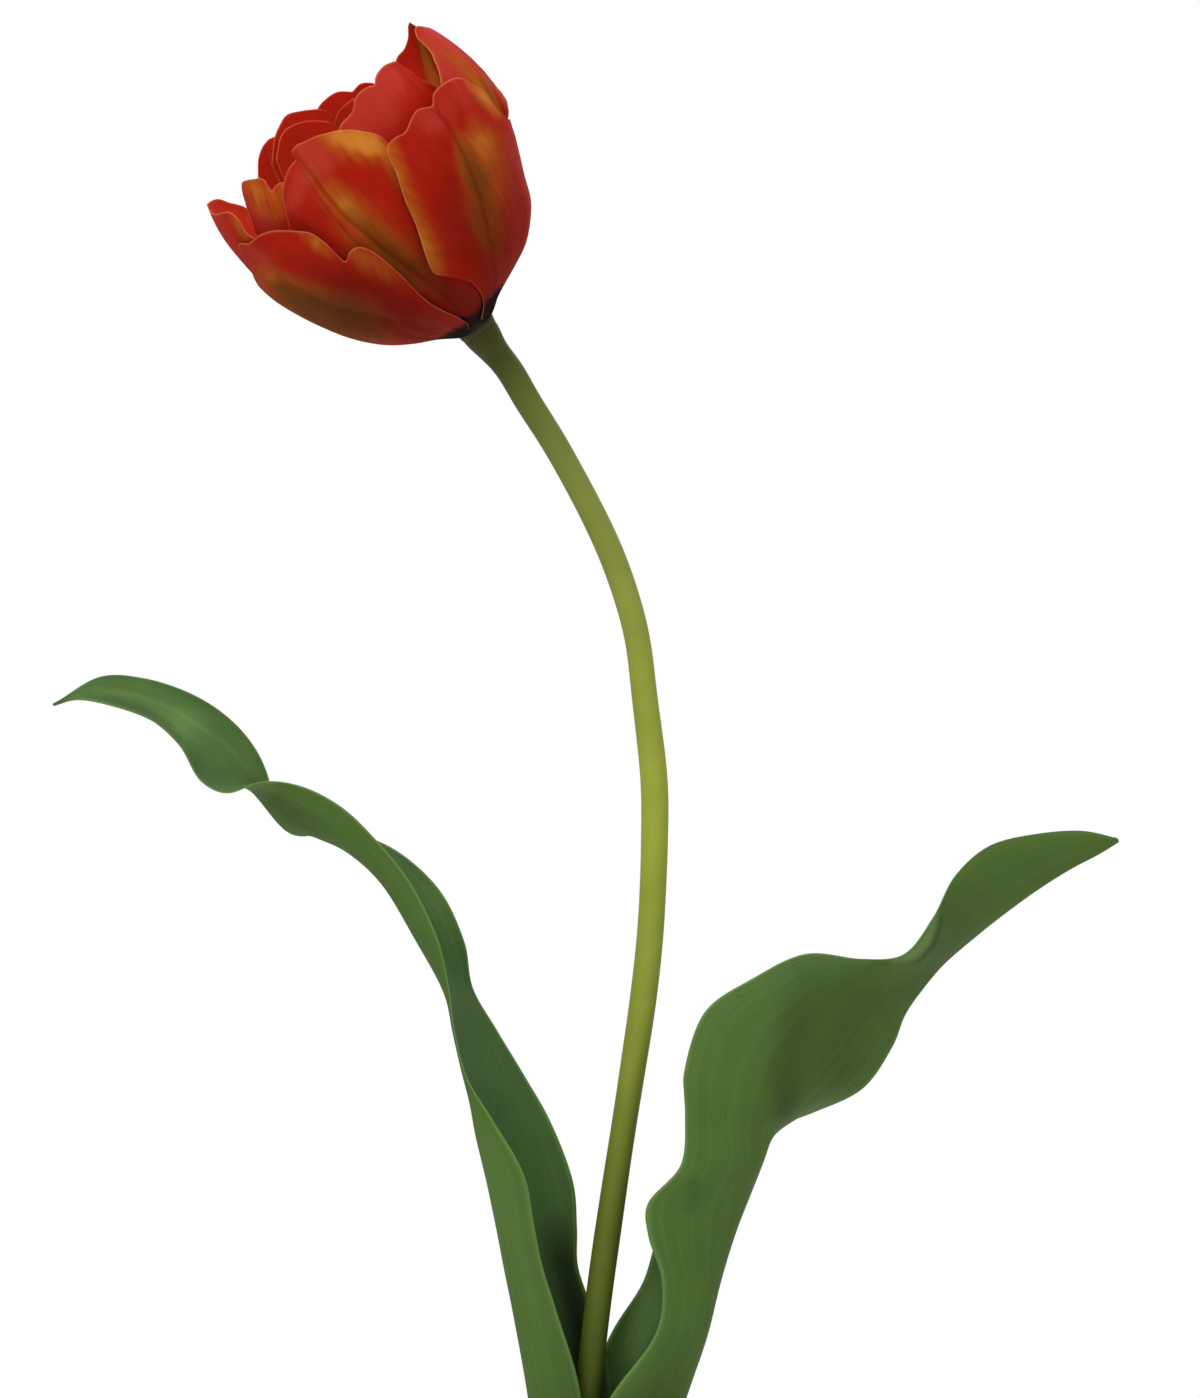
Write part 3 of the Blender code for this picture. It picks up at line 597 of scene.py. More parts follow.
@dataclass(frozen=True)
class LeafFinish(Finish):
    """Waxy leaf: paler underside, darker blue-green upper face, fine parallel veins, pale margin, and
    painted light and shade.
    """

    name: str
    seed: float
    under: Colour = (0.078, 0.148, 0.028)
    upper: Colour = (0.058, 0.122, 0.032)
    # Painted light: the green that gold strokes lay on leaf parts that catch the light, also used for the
    # soft streaks.
    light_and_streak_green: Colour = (0.14, 0.26, 0.062)
    shade: Colour = (0.010, 0.020, 0.005)
    margin: Colour = (0.17, 0.33, 0.08)

    def look(self, bench: NodeBench) -> Inputs:
        """Lays painted light, painted shade, veins and the margin over the two faces' greens.

        Args:
            bench: The material's bench.

        Returns:
            The shader's inputs.
        """
        streak = LIBRARY.use_streaks(bench, 30.0, 2.6, self.seed)
        skin = LIBRARY.use_skin(bench, 1800.0, 45.0)
        colour = bench.blend(bench.attribute("inside"), self.under, self.upper)
        for share, tint in (
            (bench.attribute(Tint.GOLD_AND_LIGHT.value), self.light_and_streak_green),
            (bench.attribute(Tint.SHADE.value), self.shade),
            (bench.times(bench.edge(streak["Soft"], 0.55, 1.0), 0.05), self.light_and_streak_green),
            (bench.times(bench.attribute("rim"), 0.7), self.margin),
        ):
            colour = bench.blend(share, colour, tint)
        tone = bench.times(bench.ramp(streak["Fine"], 0.10, 0.95), bench.ramp(streak["Soft"], 0.07, 0.965))
        tone = bench.times(tone, bench.ramp(skin["Clouds"], 0.12, 0.94))
        relief = bench.ramp(streak["Fine"], 1.0, bench.times(skin["Cells"], 0.2))
        return {
            "Base Color": bench.toned(colour, tone),
            "Roughness": bench.ramp(skin["Clouds"], 0.12, 0.46),
            "Normal": bench.bump(0.30, 0.0002, relief),
            "Subsurface Weight": 0.05,
            "Subsurface Radius": (0.0008, 0.0015, 0.0004),
            "Subsurface Scale": 0.5,
            "Specular IOR Level": 0.11,
        }


@dataclass(frozen=True)
class StemFinish(Finish):
    """Smooth waxy stem, yellower half way up, olive towards both ends and dark at the flower."""

    name: str = "stem_skin"
    crown: Colour = (0.024, 0.015, 0.012)
    stops: tuple[tuple[float, Colour], ...] = (
        (0.00, (0.20, 0.25, 0.10)),
        (0.30, (0.068, 0.096, 0.011)),
        (0.435, (0.079, 0.113, 0.012)),
        (0.515, (0.150, 0.182, 0.021)),
        (0.62, (0.275, 0.323, 0.041)),
        (0.73, (0.345, 0.390, 0.046)),
        (0.835, (0.290, 0.330, 0.054)),
        (0.925, (0.195, 0.230, 0.042)),
        (0.98, (0.082, 0.096, 0.015)),
        (1.00, (0.068, 0.064, 0.014)),
    )

    def look(self, bench: NodeBench) -> Inputs:
        """Runs the greens up the stem.

        Args:
            bench: The material's bench.

        Returns:
            The shader's inputs.
        """
        skin = LIBRARY.use_skin(bench, 1500.0, 60.0)
        greens = bench.add("ShaderNodeValToRGB", {"Fac": bench.attribute("along")})
        for _ in self.stops[2:]:
            greens.color_ramp.elements.new(0.5)
        for element, (place, colour) in zip(greens.color_ramp.elements, self.stops):
            element.position = place
            element.color = (*colour, 1.0)
        colour = bench.blend(bench.attribute(Tint.DARK.value), greens.outputs[0], self.crown)
        return {
            "Base Color": bench.toned(colour, bench.ramp(skin["Clouds"], 0.12, 0.94)),
            "Roughness": bench.ramp(skin["Clouds"], 0.12, 0.36),
            "Normal": bench.bump(0.25, 0.00015, skin["Cells"]),
            "Subsurface Weight": 0.06,
            "Subsurface Radius": (0.001, 0.0015, 0.0004),
            "Subsurface Scale": 0.8,
            "Specular IOR Level": 0.14,
        }


@dataclass(frozen=True)
class GlazeFinish(Finish):
    """Off-white glaze with faint iron specks and turning rings, over a bare clay foot."""

    name: str = "vase_glaze"
    glaze: Colour = (0.80, 0.775, 0.72)
    speck: Colour = (0.34, 0.26, 0.18)
    clay: Colour = (0.52, 0.42, 0.31)
    foot_height: float = 0.0022

    def look(self, bench: NodeBench) -> Inputs:
        """Lays specks and faint turning rings over the glaze, and bares the foot.

        Args:
            bench: The material's bench.

        Returns:
            The shader's inputs.
        """
        skin = LIBRARY.use_skin(bench, 260.0, 16.0)
        place = bench.place()
        height = bench.add("ShaderNodeSeparateXYZ", {"Vector": place}).outputs["Z"]
        specks = bench.times(bench.edge(bench.noise(place, 420.0, 2.0), 0.70, 0.76), 0.55)
        bare = bench.edge(height, self.foot_height + 0.0004, self.foot_height)
        colour = bench.blend(bare, bench.blend(specks, self.glaze, self.speck), self.clay)
        inputs = {"Vector": place, "Scale": 22.0, "Distortion": 1.2, "Detail": 1.0}
        rings = bench.add("ShaderNodeTexWave", inputs, bands_direction="Z").outputs["Fac"]
        return {
            "Base Color": bench.toned(colour, bench.ramp(skin["Clouds"], 0.05, 0.95)),
            "Roughness": bench.ramp(bare, 0.5, 0.17),
            "Normal": bench.bump(0.18, 0.0006, bench.ramp(rings, 0.5, bench.times(skin["Clouds"], 0.8))),
            "Coat Weight": 0.25,
            "Coat Roughness": 0.06,
            "Specular IOR Level": 0.5,
        }


@dataclass(frozen=True)
class WaterFinish(Finish):
    """Clear still water with the faintest ripple."""

    name: str = "still_water"
    colour: Colour = (0.92, 0.97, 0.97)
    refraction: float = 1.33

    def look(self, bench: NodeBench) -> Inputs:
        """Makes the water clear.

        Args:
            bench: The material's bench.

        Returns:
            The shader's inputs.
        """
        ripple = bench.bump(0.05, 0.0005, LIBRARY.use_skin(bench, 300.0, 40.0)["Clouds"])
        return {
            "Base Color": self.colour,
            "Roughness": 0.02,
            "Normal": ripple,
            "Transmission Weight": 1.0,
            "IOR": self.refraction,
        }


@dataclass(frozen=True)
class HeartFinish(Finish):
    """Matte tissue of the flower's heart, grained with pollen."""

    name: str
    colour: Colour
    dust: Colour
    grain_scale: float = 1400.0

    def look(self, bench: NodeBench) -> Inputs:
        """Dusts the tissue.

        Args:
            bench: The material's bench.

        Returns:
            The shader's inputs.
        """
        skin = LIBRARY.use_skin(bench, self.grain_scale, 300.0)
        share = bench.times(bench.edge(skin["Clouds"], 0.35, 0.85), 0.6)
        dusted = bench.blend(share, self.colour, self.dust)
        return {"Base Color": dusted, "Roughness": 0.75, "Normal": bench.bump(0.6, 0.0002, skin["Cells"])}


@dataclass(frozen=True)
class FloorFinish(Finish):
    """Pale matte floor that fades out towards its rim."""

    radius: float
    name: str = "pale_floor"
    colour: Colour = (0.74, 0.74, 0.73)

    def look(self, bench: NodeBench) -> Inputs:
        """Grains the floor and fades its rim.

        Args:
            bench: The material's bench.

        Returns:
            The shader's inputs.
        """
        place = bench.place()
        far = bench.add("ShaderNodeVectorMath", {0: place}, operation="LENGTH").outputs["Value"]
        return {
            "Base Color": self.colour,
            "Roughness": bench.ramp(bench.noise(place, 30.0, 3.0), 0.1, 0.75),
            "Specular IOR Level": 0.1,
            "Alpha": bench.edge(far, self.radius * 0.96, 0.3),
        }


# Flower


@dataclass
class FlowerSpace:
    """The flower's axis and the nested cups that its petals lie on.

    Each layer is the outer cup, narrowed and raised. Heights run along the axis, and angle 0
    faces the viewer. The shoulder is where a petal's bulge starts and how far it takes to grow,
    first in height and then in angle. An edge's place is searched for in steps.
    """

    base_pixel: Pixel = (480.0, 332.0)
    lean: float = math.radians(36.6)
    tilt: float = math.radians(10.5)
    cup: Line = (
        (1, 2.6), (2.6, 6), (5.8, 11.2), (8.4, 16), (12.6, 21.9), (18.6, 27.4), (25, 31.4), (31, 34.3),
        (38, 36.8), (46, 38.1), (55, 38.2), (62, 36.9), (68, 34.8), (77, 31),
    )
    reach: Sequence[float] = (1.0, 0.935, 0.865, 0.79, 0.62, 0.44)
    closing: Sequence[float] = (0.0, 0.02, 0.05, 0.08, 0.16, 0.28)
    rise: float = 0.8
    closing_height: float = 60.0
    shoulder: tuple[float, float, float, float] = (37.0, 8.0, 62.0, 16.0)
    heights: Pixel = (1.5, 77.0)
    search_rounds: int = 60
    search_step: float = 0.4
    base: np.ndarray = field(init=False)
    right: np.ndarray = field(init=False)
    flat_up: np.ndarray = field(init=False)
    axis: np.ndarray = field(init=False)
    front: np.ndarray = field(init=False)
    table: np.ndarray = field(init=False)

    def __post_init__(self) -> None:
        """Works out the axis and the fine cup."""
        viewer = np.array([0.0, -1.0, 0.0])
        self.base = PICTURE.seen_at(*self.base_pixel)
        self.right = np.array([math.cos(self.lean), 0.0, math.sin(self.lean)])
        self.flat_up = np.array([-math.sin(self.lean), 0.0, math.cos(self.lean)])
        self.axis = math.cos(self.tilt) * self.flat_up + math.sin(self.tilt) * viewer
        self.front = math.cos(self.tilt) * viewer - math.sin(self.tilt) * self.flat_up
        self.table = smooth_path(self.cup, 200)

    def radius(self, layer: float, height: np.ndarray | float) -> np.ndarray:
        """How far a layer's surface is from the axis.

        Args:
            layer: The layer, 0 outside.
            height: Heights along the axis.

        Returns:
            The radius at each height.
        """
        outer = np.interp(height - self.rise * layer, self.table[:, 0], self.table[:, 1])
        reach, closing = (np.interp(layer, range(len(row)), row) for row in (self.reach, self.closing))
        return outer * (reach - closing * (np.asarray(height) / self.closing_height) ** 3)

    def place(self, radius: np.ndarray, angle: np.ndarray, height: np.ndarray) -> np.ndarray:
        """The points at distances from the axis, angles in radians and heights along it."""
        sideways = np.sin(angle)[..., None] * self.right + np.cos(angle)[..., None] * self.front
        return self.base + height[..., None] * self.axis + radius[..., None] * sideways

    def outset(self, flare: float, bulge: float, angle: np.ndarray, height: np.ndarray) -> np.ndarray:
        """How far a petal's edge stands out from its layer, at angles in degrees and heights."""
        low, step, turn, spread = self.shoulder
        return flare + bulge * eased((height - low) / step) * eased((np.abs(angle) - turn) / spread)

    def edge(self, layer: float, centre: float, pixels: Iterable[Pixel], behind: bool = False,
             flare: float = 0.0, bulge: float = 0.0) -> list[Pixel]:
        """Reads a petal's edge from the picture.

        Args:
            layer: The layer that the petal lies on.
            centre: The angle of the petal's middle, in degrees.
            pixels: Points of the edge.
            behind: Whether the petal is on the far side of the flower.
            flare: The petal's flare at its edge.
            bulge: How far the flower's sides stand out.

        Returns:
            The (angle, height) pairs.
        """
        side = -1.0 if behind else 1.0
        lowest, highest = self.heights
        spots = []
        for pixel in pixels:
            height, angle = 30.0, 0.0
            for _ in range(self.search_rounds):
                out = self.outset(flare, bulge, np.array(math.degrees(angle)), np.array(height))
                radius = float(self.radius(layer, height) + out)
                depth = self.base[1] + height * self.axis[1] + radius * math.cos(angle) * self.front[1]
                offset = PICTURE.seen_at(*pixel, depth) - self.base
                sine = min(max(float(offset @ self.right) / radius, -1.0), 1.0)
                cosine = side * math.sqrt(1.0 - sine * sine)
                upward = float(offset @ self.flat_up) + radius * cosine * math.sin(self.tilt)
                target = min(max(upward / math.cos(self.tilt), lowest), highest)
                height += self.search_step * (target - height)
                angle = math.atan2(sine, cosine)
            turn = math.degrees(angle) % 360.0 - centre
            spots.append(((turn + 180.0) % 360.0 - 180.0 + centre, height))
        return spots

    @staticmethod
    def round_edge(centre: float, half_angle: float, height: float, point: float = 0.25) -> list[Pixel]:
        """Draws the edge of a plain rounded petal.

        Args:
            centre: The angle of the petal's middle.
            half_angle: How far it reaches to each side.
            height: How high its tip is.
            point: How pointed the tip is.

        Returns:
            The (angle, height) pairs.
        """
        sweep, waist = math.radians(118), 0.62
        spots = []
        for share in np.linspace(-1.0, 1.0, 17).tolist():
            turn = share * sweep
            upward = (1 - point) * math.cos(turn) + point * (1 - abs(share))
            spots.append((centre + half_angle * math.sin(turn), height * (waist + (1 - waist) * upward)))
        return spots


@dataclass
class Petal:
    """One petal of the flower.

    The edge runs from its lower left, round its tip, to its lower right, in (angle, height)
    pairs. The flare grows towards the edge, and the bulge stands out at the flower's sides. The
    strokes are painted as far round as the angle seen_to, and a rule tints what lies beyond.
    Edge waves are (length, size) pairs, folds are (count, size) pairs, and the crease's steps are
    (depth, half width in pixels) pairs.
    """

    name: str
    layer: float
    centre: float
    edge: list[Pixel]
    tip: int
    flare: float = 0.0
    bulge: float = 0.0
    root: Pixel | None = None
    crease: Line = ()
    crease_shade: float = 0.5
    midrib: float = 0.55
    strokes: tuple[Stroke, ...] = ()
    swell: tuple[Stroke, ...] = ()
    seen_to: float = 100.0
    ruffle: float = 0.45
    seed: int = 0
    columns: int = 132
    rows: int = 64
    root_height: float = 1.0
    root_half_angle: float = 34.0
    edge_waves: Line = ((19.0, 1.0), (9.5, 0.55), (5.2, 0.28))
    wave_size: float = 0.7
    folds: Line = ((1.5, 0.34), (3.0, 0.24), (5.5, 0.15), (9.0, 0.08))
    fold_size: float = 0.9
    crease_steps: Line = ((0.45, 4.5), (0.75, 20.0))
    midrib_width: float = 1.6
    rim_width: float = 0.52
    edge_thickness: float = 0.20
    body_thickness: float = 0.54

    def rim(self) -> np.ndarray:
        """Spreads points along the edge, with the tip on the middle column.

        Returns:
            The (angle, height) pairs.
        """
        turn_scale = 0.6
        scaled = np.array([(angle * turn_scale, height) for angle, height in self.edge])
        left = smooth_path(scaled[: self.tip + 1], self.columns // 2 + 1)
        right = smooth_path(scaled[self.tip :], self.columns // 2 + 1)
        return np.vstack([left, right[1:]]) / [turn_scale, 1.0]

    def surface(self, space: FlowerSpace) -> dict[str, np.ndarray]:
        """Works out the petal's middle surface.

        Args:
            space: The flower's axis and cups.

        Returns:
            The grid of points and what the tints and the thickness are worked out from.
        """
        dice = np.random.default_rng(self.seed)
        rim = self.rim()
        across = np.linspace(-1.0, 1.0, self.columns + 1)
        along = np.concatenate([np.linspace(0.0, 0.97, self.rows - 3), [0.98, 0.988, 0.995, 1.0]])[:, None]
        first, last = self.root or (self.centre - self.root_half_angle, self.centre + self.root_half_angle)
        root_angle = (first + last) / 2 + (last - first) / 2 * across
        root_height = self.root_height + space.rise * self.layer
        angle = root_angle + (rim[:, 0] - root_angle) * along**0.85
        height = root_height + (rim[:, 1] - root_height) * along
        outset = space.outset(0.0, self.bulge, angle, height) + self.flare * along**2
        radius = space.radius(self.layer, height) + outset
        plain = space.place(radius, np.radians(angle), height)
        pixels = PICTURE.pixels_of(plain)
        walked = walked_along(plain[-1])
        waves = folds = 0.0
        for length, size in self.edge_waves:
            waves = waves + size * np.sin(math.tau * (walked / length + dice.random()))
        near_edge = eased((along - 0.70) / 0.28) * eased(height / 22.0 - 0.4)
        radius = radius + self.ruffle * waves * near_edge * self.wave_size
        for count, size in self.folds:
            folds = folds + size * np.sin(math.pi * count * across + math.tau * dice.random())
        radius = radius + folds * np.sin(math.pi * along) * self.fold_size
        radius = radius - self.groove(plain, across, along)
        for stroke in self.swell:
            radius = radius + stroke.mask(pixels)
        points = space.place(radius, np.radians(angle), height)
        across, along = (np.broadcast_to(share, angle.shape) for share in (across, along))
        grid = {"points": points, "pixels": pixels, "height": height, "angle": angle}
        return grid | {"across": across, "along": along}

    def groove(self, plain: np.ndarray, across: np.ndarray, along: np.ndarray) -> np.ndarray:
        """Works out how deep the midrib's crease is.

        Args:
            plain: The surface without the crease.
            across: From -1 to 1 over the petal.
            along: From 0 at the root to 1 at the edge.

        Returns:
            The depth at each point, in millimetres.
        """
        if self.crease:
            pixels = PICTURE.pixels_of(plain)
            return sum(depth * self.crease_mask(pixels, width) for depth, width in self.crease_steps)
        half = np.linalg.norm(plain[:, -1] - plain[:, 0], axis=-1)[:, None] / 2
        reach = np.abs(across) * np.maximum(half, 4.0)
        rib = np.exp(-((reach / self.midrib_width) ** 2))
        return self.midrib * rib * (1.0 - eased((along - 0.75) / 0.25))

    def crease_mask(self, pixels: np.ndarray, half_width: float) -> np.ndarray:
        """A soft line along the crease, half_width pixels to each side."""
        return Stroke(Tint.SHADE, [(*spot, half_width) for spot in self.crease]).mask(pixels)

    def tints(self, grid: dict[str, np.ndarray]) -> dict[str, np.ndarray]:
        """Works out the petal's tint masks.

        Args:
            grid: What surface gives.

        Returns:
            One mask for each tint, and one for the pale rim, which is partly painted rim light.
        """
        points, height, along = grid["points"], grid["height"], grid["along"]
        near = 1.0 - eased((np.abs(grid["angle"]) - self.seen_to) / 12.0) if self.strokes else 0.0
        reach = np.abs(grid["across"])
        body = eased((along - 0.12) / 0.25) * (1.0 - eased((along - 0.66) / 0.30))
        ruled = {
            Tint.FLAME: 0.8 * (1.0 - eased((reach - 0.03) / 0.30)) * body,
            Tint.GOLD_AND_LIGHT: 0.6 * (1.0 - eased((1.0 - along) / 0.14)) * eased((reach - 0.15) / 0.5),
            Tint.PINK_AND_HIGHLIGHT: 0.7 * eased((along - 0.6) / 0.4),
        }
        pixels = PICTURE.pixels_of(points)
        masks = {}
        for tint in Tint:
            seen = painted(self.strokes, tint, pixels)
            masks[tint.value] = near * seen + (1.0 - near) * ruled.get(tint, 0.0)
        masks[Tint.DARK.value] = np.maximum(masks[Tint.DARK.value], 1.0 - eased((height - 2.0) / 8.0))
        # Painted shade: a dark line along the crease.
        if self.crease:
            line = self.crease_shade * self.crease_mask(grid["pixels"], 2.0)
            masks[Tint.SHADE.value] = 1.0 - (1.0 - masks[Tint.SHADE.value]) * (1.0 - line)
        from_edge = np.linalg.norm(points[-1] - points, axis=-1)
        near_root = self.rim_width * (1.0 - eased((height - 2.0) / 3.0))
        for side in (0, -1):
            from_side = np.linalg.norm(points[:, side, None] - points, axis=-1)
            from_edge = np.minimum(from_edge, from_side + near_root)
        masks["rim"] = 1.0 - eased(from_edge / self.rim_width)
        return masks

    def build(self, space: FlowerSpace) -> Piece:
        """Makes the petal.

        Args:
            space: The flower's axis and cups.

        Returns:
            The petal's object.
        """
        grid = self.surface(space)
        thin = eased((1.0 - grid["along"]) / 0.14)
        thickness = self.edge_thickness + (self.body_thickness - self.edge_thickness) * thin
        return Blade(self.name, grid["points"], thickness, self.tints(grid)).build()


@dataclass
class Bloom:
    """The double bloom: outer petals read from the picture and inner ones set by a rule."""

    space: FlowerSpace
    finish: PetalFinish
    lining_finish: PetalFinish
    cone: Line = ((4.7, 0.0), (4.86, 0.7), (5.1, 1.9), (5.2, 4.0), (4.6, 6.6), (3.2, 7.8))

    def front_right(self) -> Petal:
        """Plans the large petal that faces the viewer on the right.

        Returns:
            The petal.
        """
        edge = [
            (481, 319), (484, 307), (480, 291), (472, 283), (457, 277), (438, 275), (433, 272), (426, 257),
            (421, 241), (414, 220), (406, 203), (398, 179), (395, 170), (389, 158), (387, 149), (390, 142),
            (396, 137), (404, 133), (408, 126), (412, 117), (417, 110), (426, 107), (434, 105), (435, 100),
            (434, 95), (437, 89), (443, 84), (451, 79), (459, 78), (466, 80), (474, 85), (484, 92),
            (491, 101), (498, 108), (504, 117),
        ]
        outline = self.space.edge(0, 47, edge)
        outline += [
            (94, 38), (99, 38), (105, 36), (110, 31), (113, 24), (111, 17), (104, 11), (94, 6),
        ]
        crease = [
            (440, 110), (449, 123), (457, 136), (465, 152), (473, 170), (482, 194), (488, 222), (493, 248),
            (497, 272), (496, 294),
        ]
        strokes = (
            # Painted highlight: rose on the petal's lit top.
            Stroke(Tint.PINK_AND_HIGHLIGHT, [(456, 94, 24), (430, 118, 20)], 0.6),
            Stroke(Tint.PINK_AND_HIGHLIGHT, [(506, 150, 16), (514, 200, 15), (514, 245, 14), (504, 285, 12)], 0.7),
            Stroke(Tint.GOLD_AND_LIGHT, [(386, 148, 13, 0.6), (397, 180, 13, 0.74), (408, 208, 17, 0.76),
                               (421, 243, 18, 0.84), (432, 268, 15, 0.62)]),
            Stroke(Tint.GOLD_AND_LIGHT, [(470, 84, 6, 0.5), (484, 95, 9, 0.8), (498, 110, 8, 0.7)]),
            Stroke(Tint.GOLD_AND_LIGHT, [(472, 122, 10, 0.3), (482, 145, 20, 0.68), (490, 168, 20, 0.62),
                               (499, 190, 16, 0.5), (506, 210, 11, 0.3)]),
            Stroke(Tint.FLAME, [(454, 130, 8, 0.2), (466, 152, 13, 0.55), (478, 180, 18, 0.8),
                                (485, 210, 20, 0.76), (490, 238, 15, 0.5), (493, 262, 10, 0.2)]),
            Stroke(Tint.SHADE, [(444, 150, 12, 0.1), (451, 190, 18, 0.28), (458, 225, 22, 0.4),
                                (470, 258, 24, 0.35)]),
            Stroke(Tint.SHADE, [(474, 190, 18, 0.15), (484, 215, 24, 0.35), (492, 245, 22, 0.4)]),
            Stroke(Tint.SHADE, [(510, 150, 12, 0.2), (516, 200, 16, 0.4), (508, 245, 22, 0.5),
                                (494, 280, 20, 0.58), (488, 300, 16, 0.7)]),
            Stroke(Tint.DARK, [(503, 288, 7, 0.65), (494, 304, 11, 0.95), (488, 320, 16, 1.0)]),
        )
        swell = (
            Stroke(Tint.SHADE, [(520, 215, 30), (518, 240, 26)], 1.5),
            Stroke(Tint.SHADE, [(503, 108, 10, 0.3), (507, 118, 12, 1.0), (511, 130, 11, 0.4)], 0.45),
        )
        return Petal("petal_front_right", 0, 47, outline, 27, root=(40, 82), crease=crease, strokes=strokes,
                     swell=swell, ruffle=0.2, columns=188, rows=92, seed=11)

    def front_left(self) -> Petal:
        """Plans the outer petal at the lower left, with two lobes.

        Returns:
            The petal.
        """
        hidden = [(-62, 4.0), (-80, 8.0), (-98, 14.0), (-106, 21.0), (-104, 28.0), (-98, 34.0)]
        edge = [
            (249, 272), (244, 262), (240, 252), (238, 245), (241, 243), (247, 244), (252, 241), (258, 236),
            (267, 232), (279, 230), (290, 230), (301, 231), (310, 233), (319, 238), (328, 245), (334, 251),
            (341, 258), (345, 261), (348, 258), (349, 253), (353, 249), (359, 247), (369, 250), (380, 257),
            (391, 266), (404, 278), (415, 290), (428, 302), (443, 311), (458, 318), (468, 324),
        ]
        outline = hidden + self.space.edge(0, -62, edge)
        crease = [(256, 262), (285, 283), (330, 305), (380, 318), (440, 330)]
        strokes = (
            Stroke(Tint.PINK_AND_HIGHLIGHT, [(245, 252, 10), (262, 262, 14), (262, 285, 8)], 0.7),
            Stroke(Tint.PINK_AND_HIGHLIGHT, [(420, 325, 16), (455, 330, 12)], 0.5),
            Stroke(Tint.GOLD_AND_LIGHT, [(304, 234, 6, 0.4), (316, 242, 9, 0.62), (330, 252, 8, 0.3)]),
            Stroke(Tint.GOLD_AND_LIGHT, [(352, 252, 9, 0.55), (366, 259, 14, 0.66), (382, 270, 12, 0.6),
                               (398, 284, 8, 0.2)]),
            Stroke(Tint.GOLD_AND_LIGHT, [(252, 266, 10, 0.3), (270, 280, 15, 0.6), (288, 290, 16, 0.4)]),
            Stroke(Tint.FLAME, [(262, 281, 12, 0.25), (283, 293, 20, 0.75), (307, 307, 23, 0.95),
                                (332, 316, 24, 1), (360, 324, 24, 0.95), (388, 333, 16, 0.5),
                                (412, 338, 12, 0.2)]),
            Stroke(Tint.FLAME, [(446, 333, 7, 0.2), (460, 332, 8, 0.6)]),
            Stroke(Tint.SHADE, [(300, 262, 14, 0.15), (345, 282, 22, 0.6), (385, 297, 24, 0.7),
                                (425, 314, 18, 0.66), (455, 326, 12, 0.6)]),
            Stroke(Tint.SHADE, [(270, 290, 16, 0.1), (320, 320, 18, 0.2), (365, 330, 18, 0.45),
                                (392, 326, 20, 0.7), (425, 336, 18, 0.75)]),
            Stroke(Tint.DARK, [(436, 346, 5, 0.8), (452, 342, 7, 0.95), (470, 335, 9, 1.0)]),
            # Painted shade on the lower olive flame.
            Stroke(Tint.SHADE_ON_OLIVE, [(290, 293, 14, 0.25), (316, 303, 18, 0.6), (350, 312, 20, 0.75),
                                (378, 324, 16, 0.45)]),
        )
        swell = (Stroke(Tint.SHADE, [(290, 262, 26), (340, 280, 24), (390, 300, 18)], 0.7),)
        return Petal("petal_front_left", 0, -62, outline, 17, root=(-92, -28), crease=crease,
                     crease_shade=0.12, strokes=strokes, swell=swell, ruffle=0.2, columns=188, rows=92,
                     seed=12)

    def middle(self) -> Petal:
        """Plans the outer petal between the two front ones.

        Returns:
            The petal.
        """
        edge = [
            (303, 272), (294, 246), (290, 230), (288, 222), (284, 205), (283, 190), (286, 175), (291, 165),
            (295, 161), (292, 156), (291, 152), (296, 146), (304, 142), (314, 137), (327, 133), (340, 130),
            (353, 130), (366, 132), (378, 135), (387, 142), (402, 165), (422, 200), (446, 235), (466, 262),
            (480, 284), (487, 298),
        ]
        outline = self.space.edge(1, -16, edge)
        crease = [
            (294, 155), (301, 164), (312, 177), (323, 193), (334, 206), (350, 222), (366, 234), (382, 249),
            (400, 263), (420, 277), (440, 291), (458, 311),
        ]
        strokes = (
            # Painted highlight: rose on the lit upper left of the petal.
            Stroke(Tint.PINK_AND_HIGHLIGHT, [(304, 152, 14), (318, 160, 18), (300, 182, 12), (291, 205, 8)], 0.8),
            Stroke(Tint.GOLD_AND_LIGHT, [(320, 136, 8, 0.45), (338, 136, 15, 0.94), (354, 141, 19, 1.0),
                               (370, 145, 18, 1), (384, 150, 12, 0.8), (396, 168, 10, 0.6),
                               (402, 188, 8, 0.3)]),
            Stroke(Tint.GOLD_AND_LIGHT, [(306, 150, 14, 0.2), (312, 166, 14, 0.22)]),
            Stroke(Tint.GOLD_AND_LIGHT, [(314, 180, 10, 0.15), (330, 192, 15, 0.5), (345, 206, 18, 0.74),
                               (358, 219, 20, 0.66), (376, 236, 20, 0.4)]),
            Stroke(Tint.FLAME, [(336, 205, 12, 0.15), (350, 220, 20, 0.48), (370, 235, 25, 0.68),
                                (392, 253, 25, 0.78), (412, 270, 20, 0.75), (432, 286, 14, 0.4)]),
            Stroke(Tint.SHADE, [(388, 242, 20, 0.05), (402, 256, 22, 0.22), (420, 270, 22, 0.56),
                                (446, 292, 24, 0.8), (474, 308, 24, 0.85)]),
            Stroke(Tint.SHADE, [(404, 200, 14, 0.12), (424, 238, 14, 0.3), (444, 270, 16, 0.5)]),
            Stroke(Tint.DARK, [(462, 320, 6, 0.85), (478, 327, 11, 1.0)]),
        )
        swell = (
            Stroke(Tint.SHADE, [(372, 185, 34), (400, 230, 26)], 0.8),
            Stroke(Tint.SHADE, [(310, 205, 18)], 0.6),
        )
        return Petal("petal_middle", 1, -16, outline, 15, root=(-50, 50), crease=crease, strokes=strokes,
                     swell=swell, ruffle=0.15, columns=176, rows=88, seed=13)

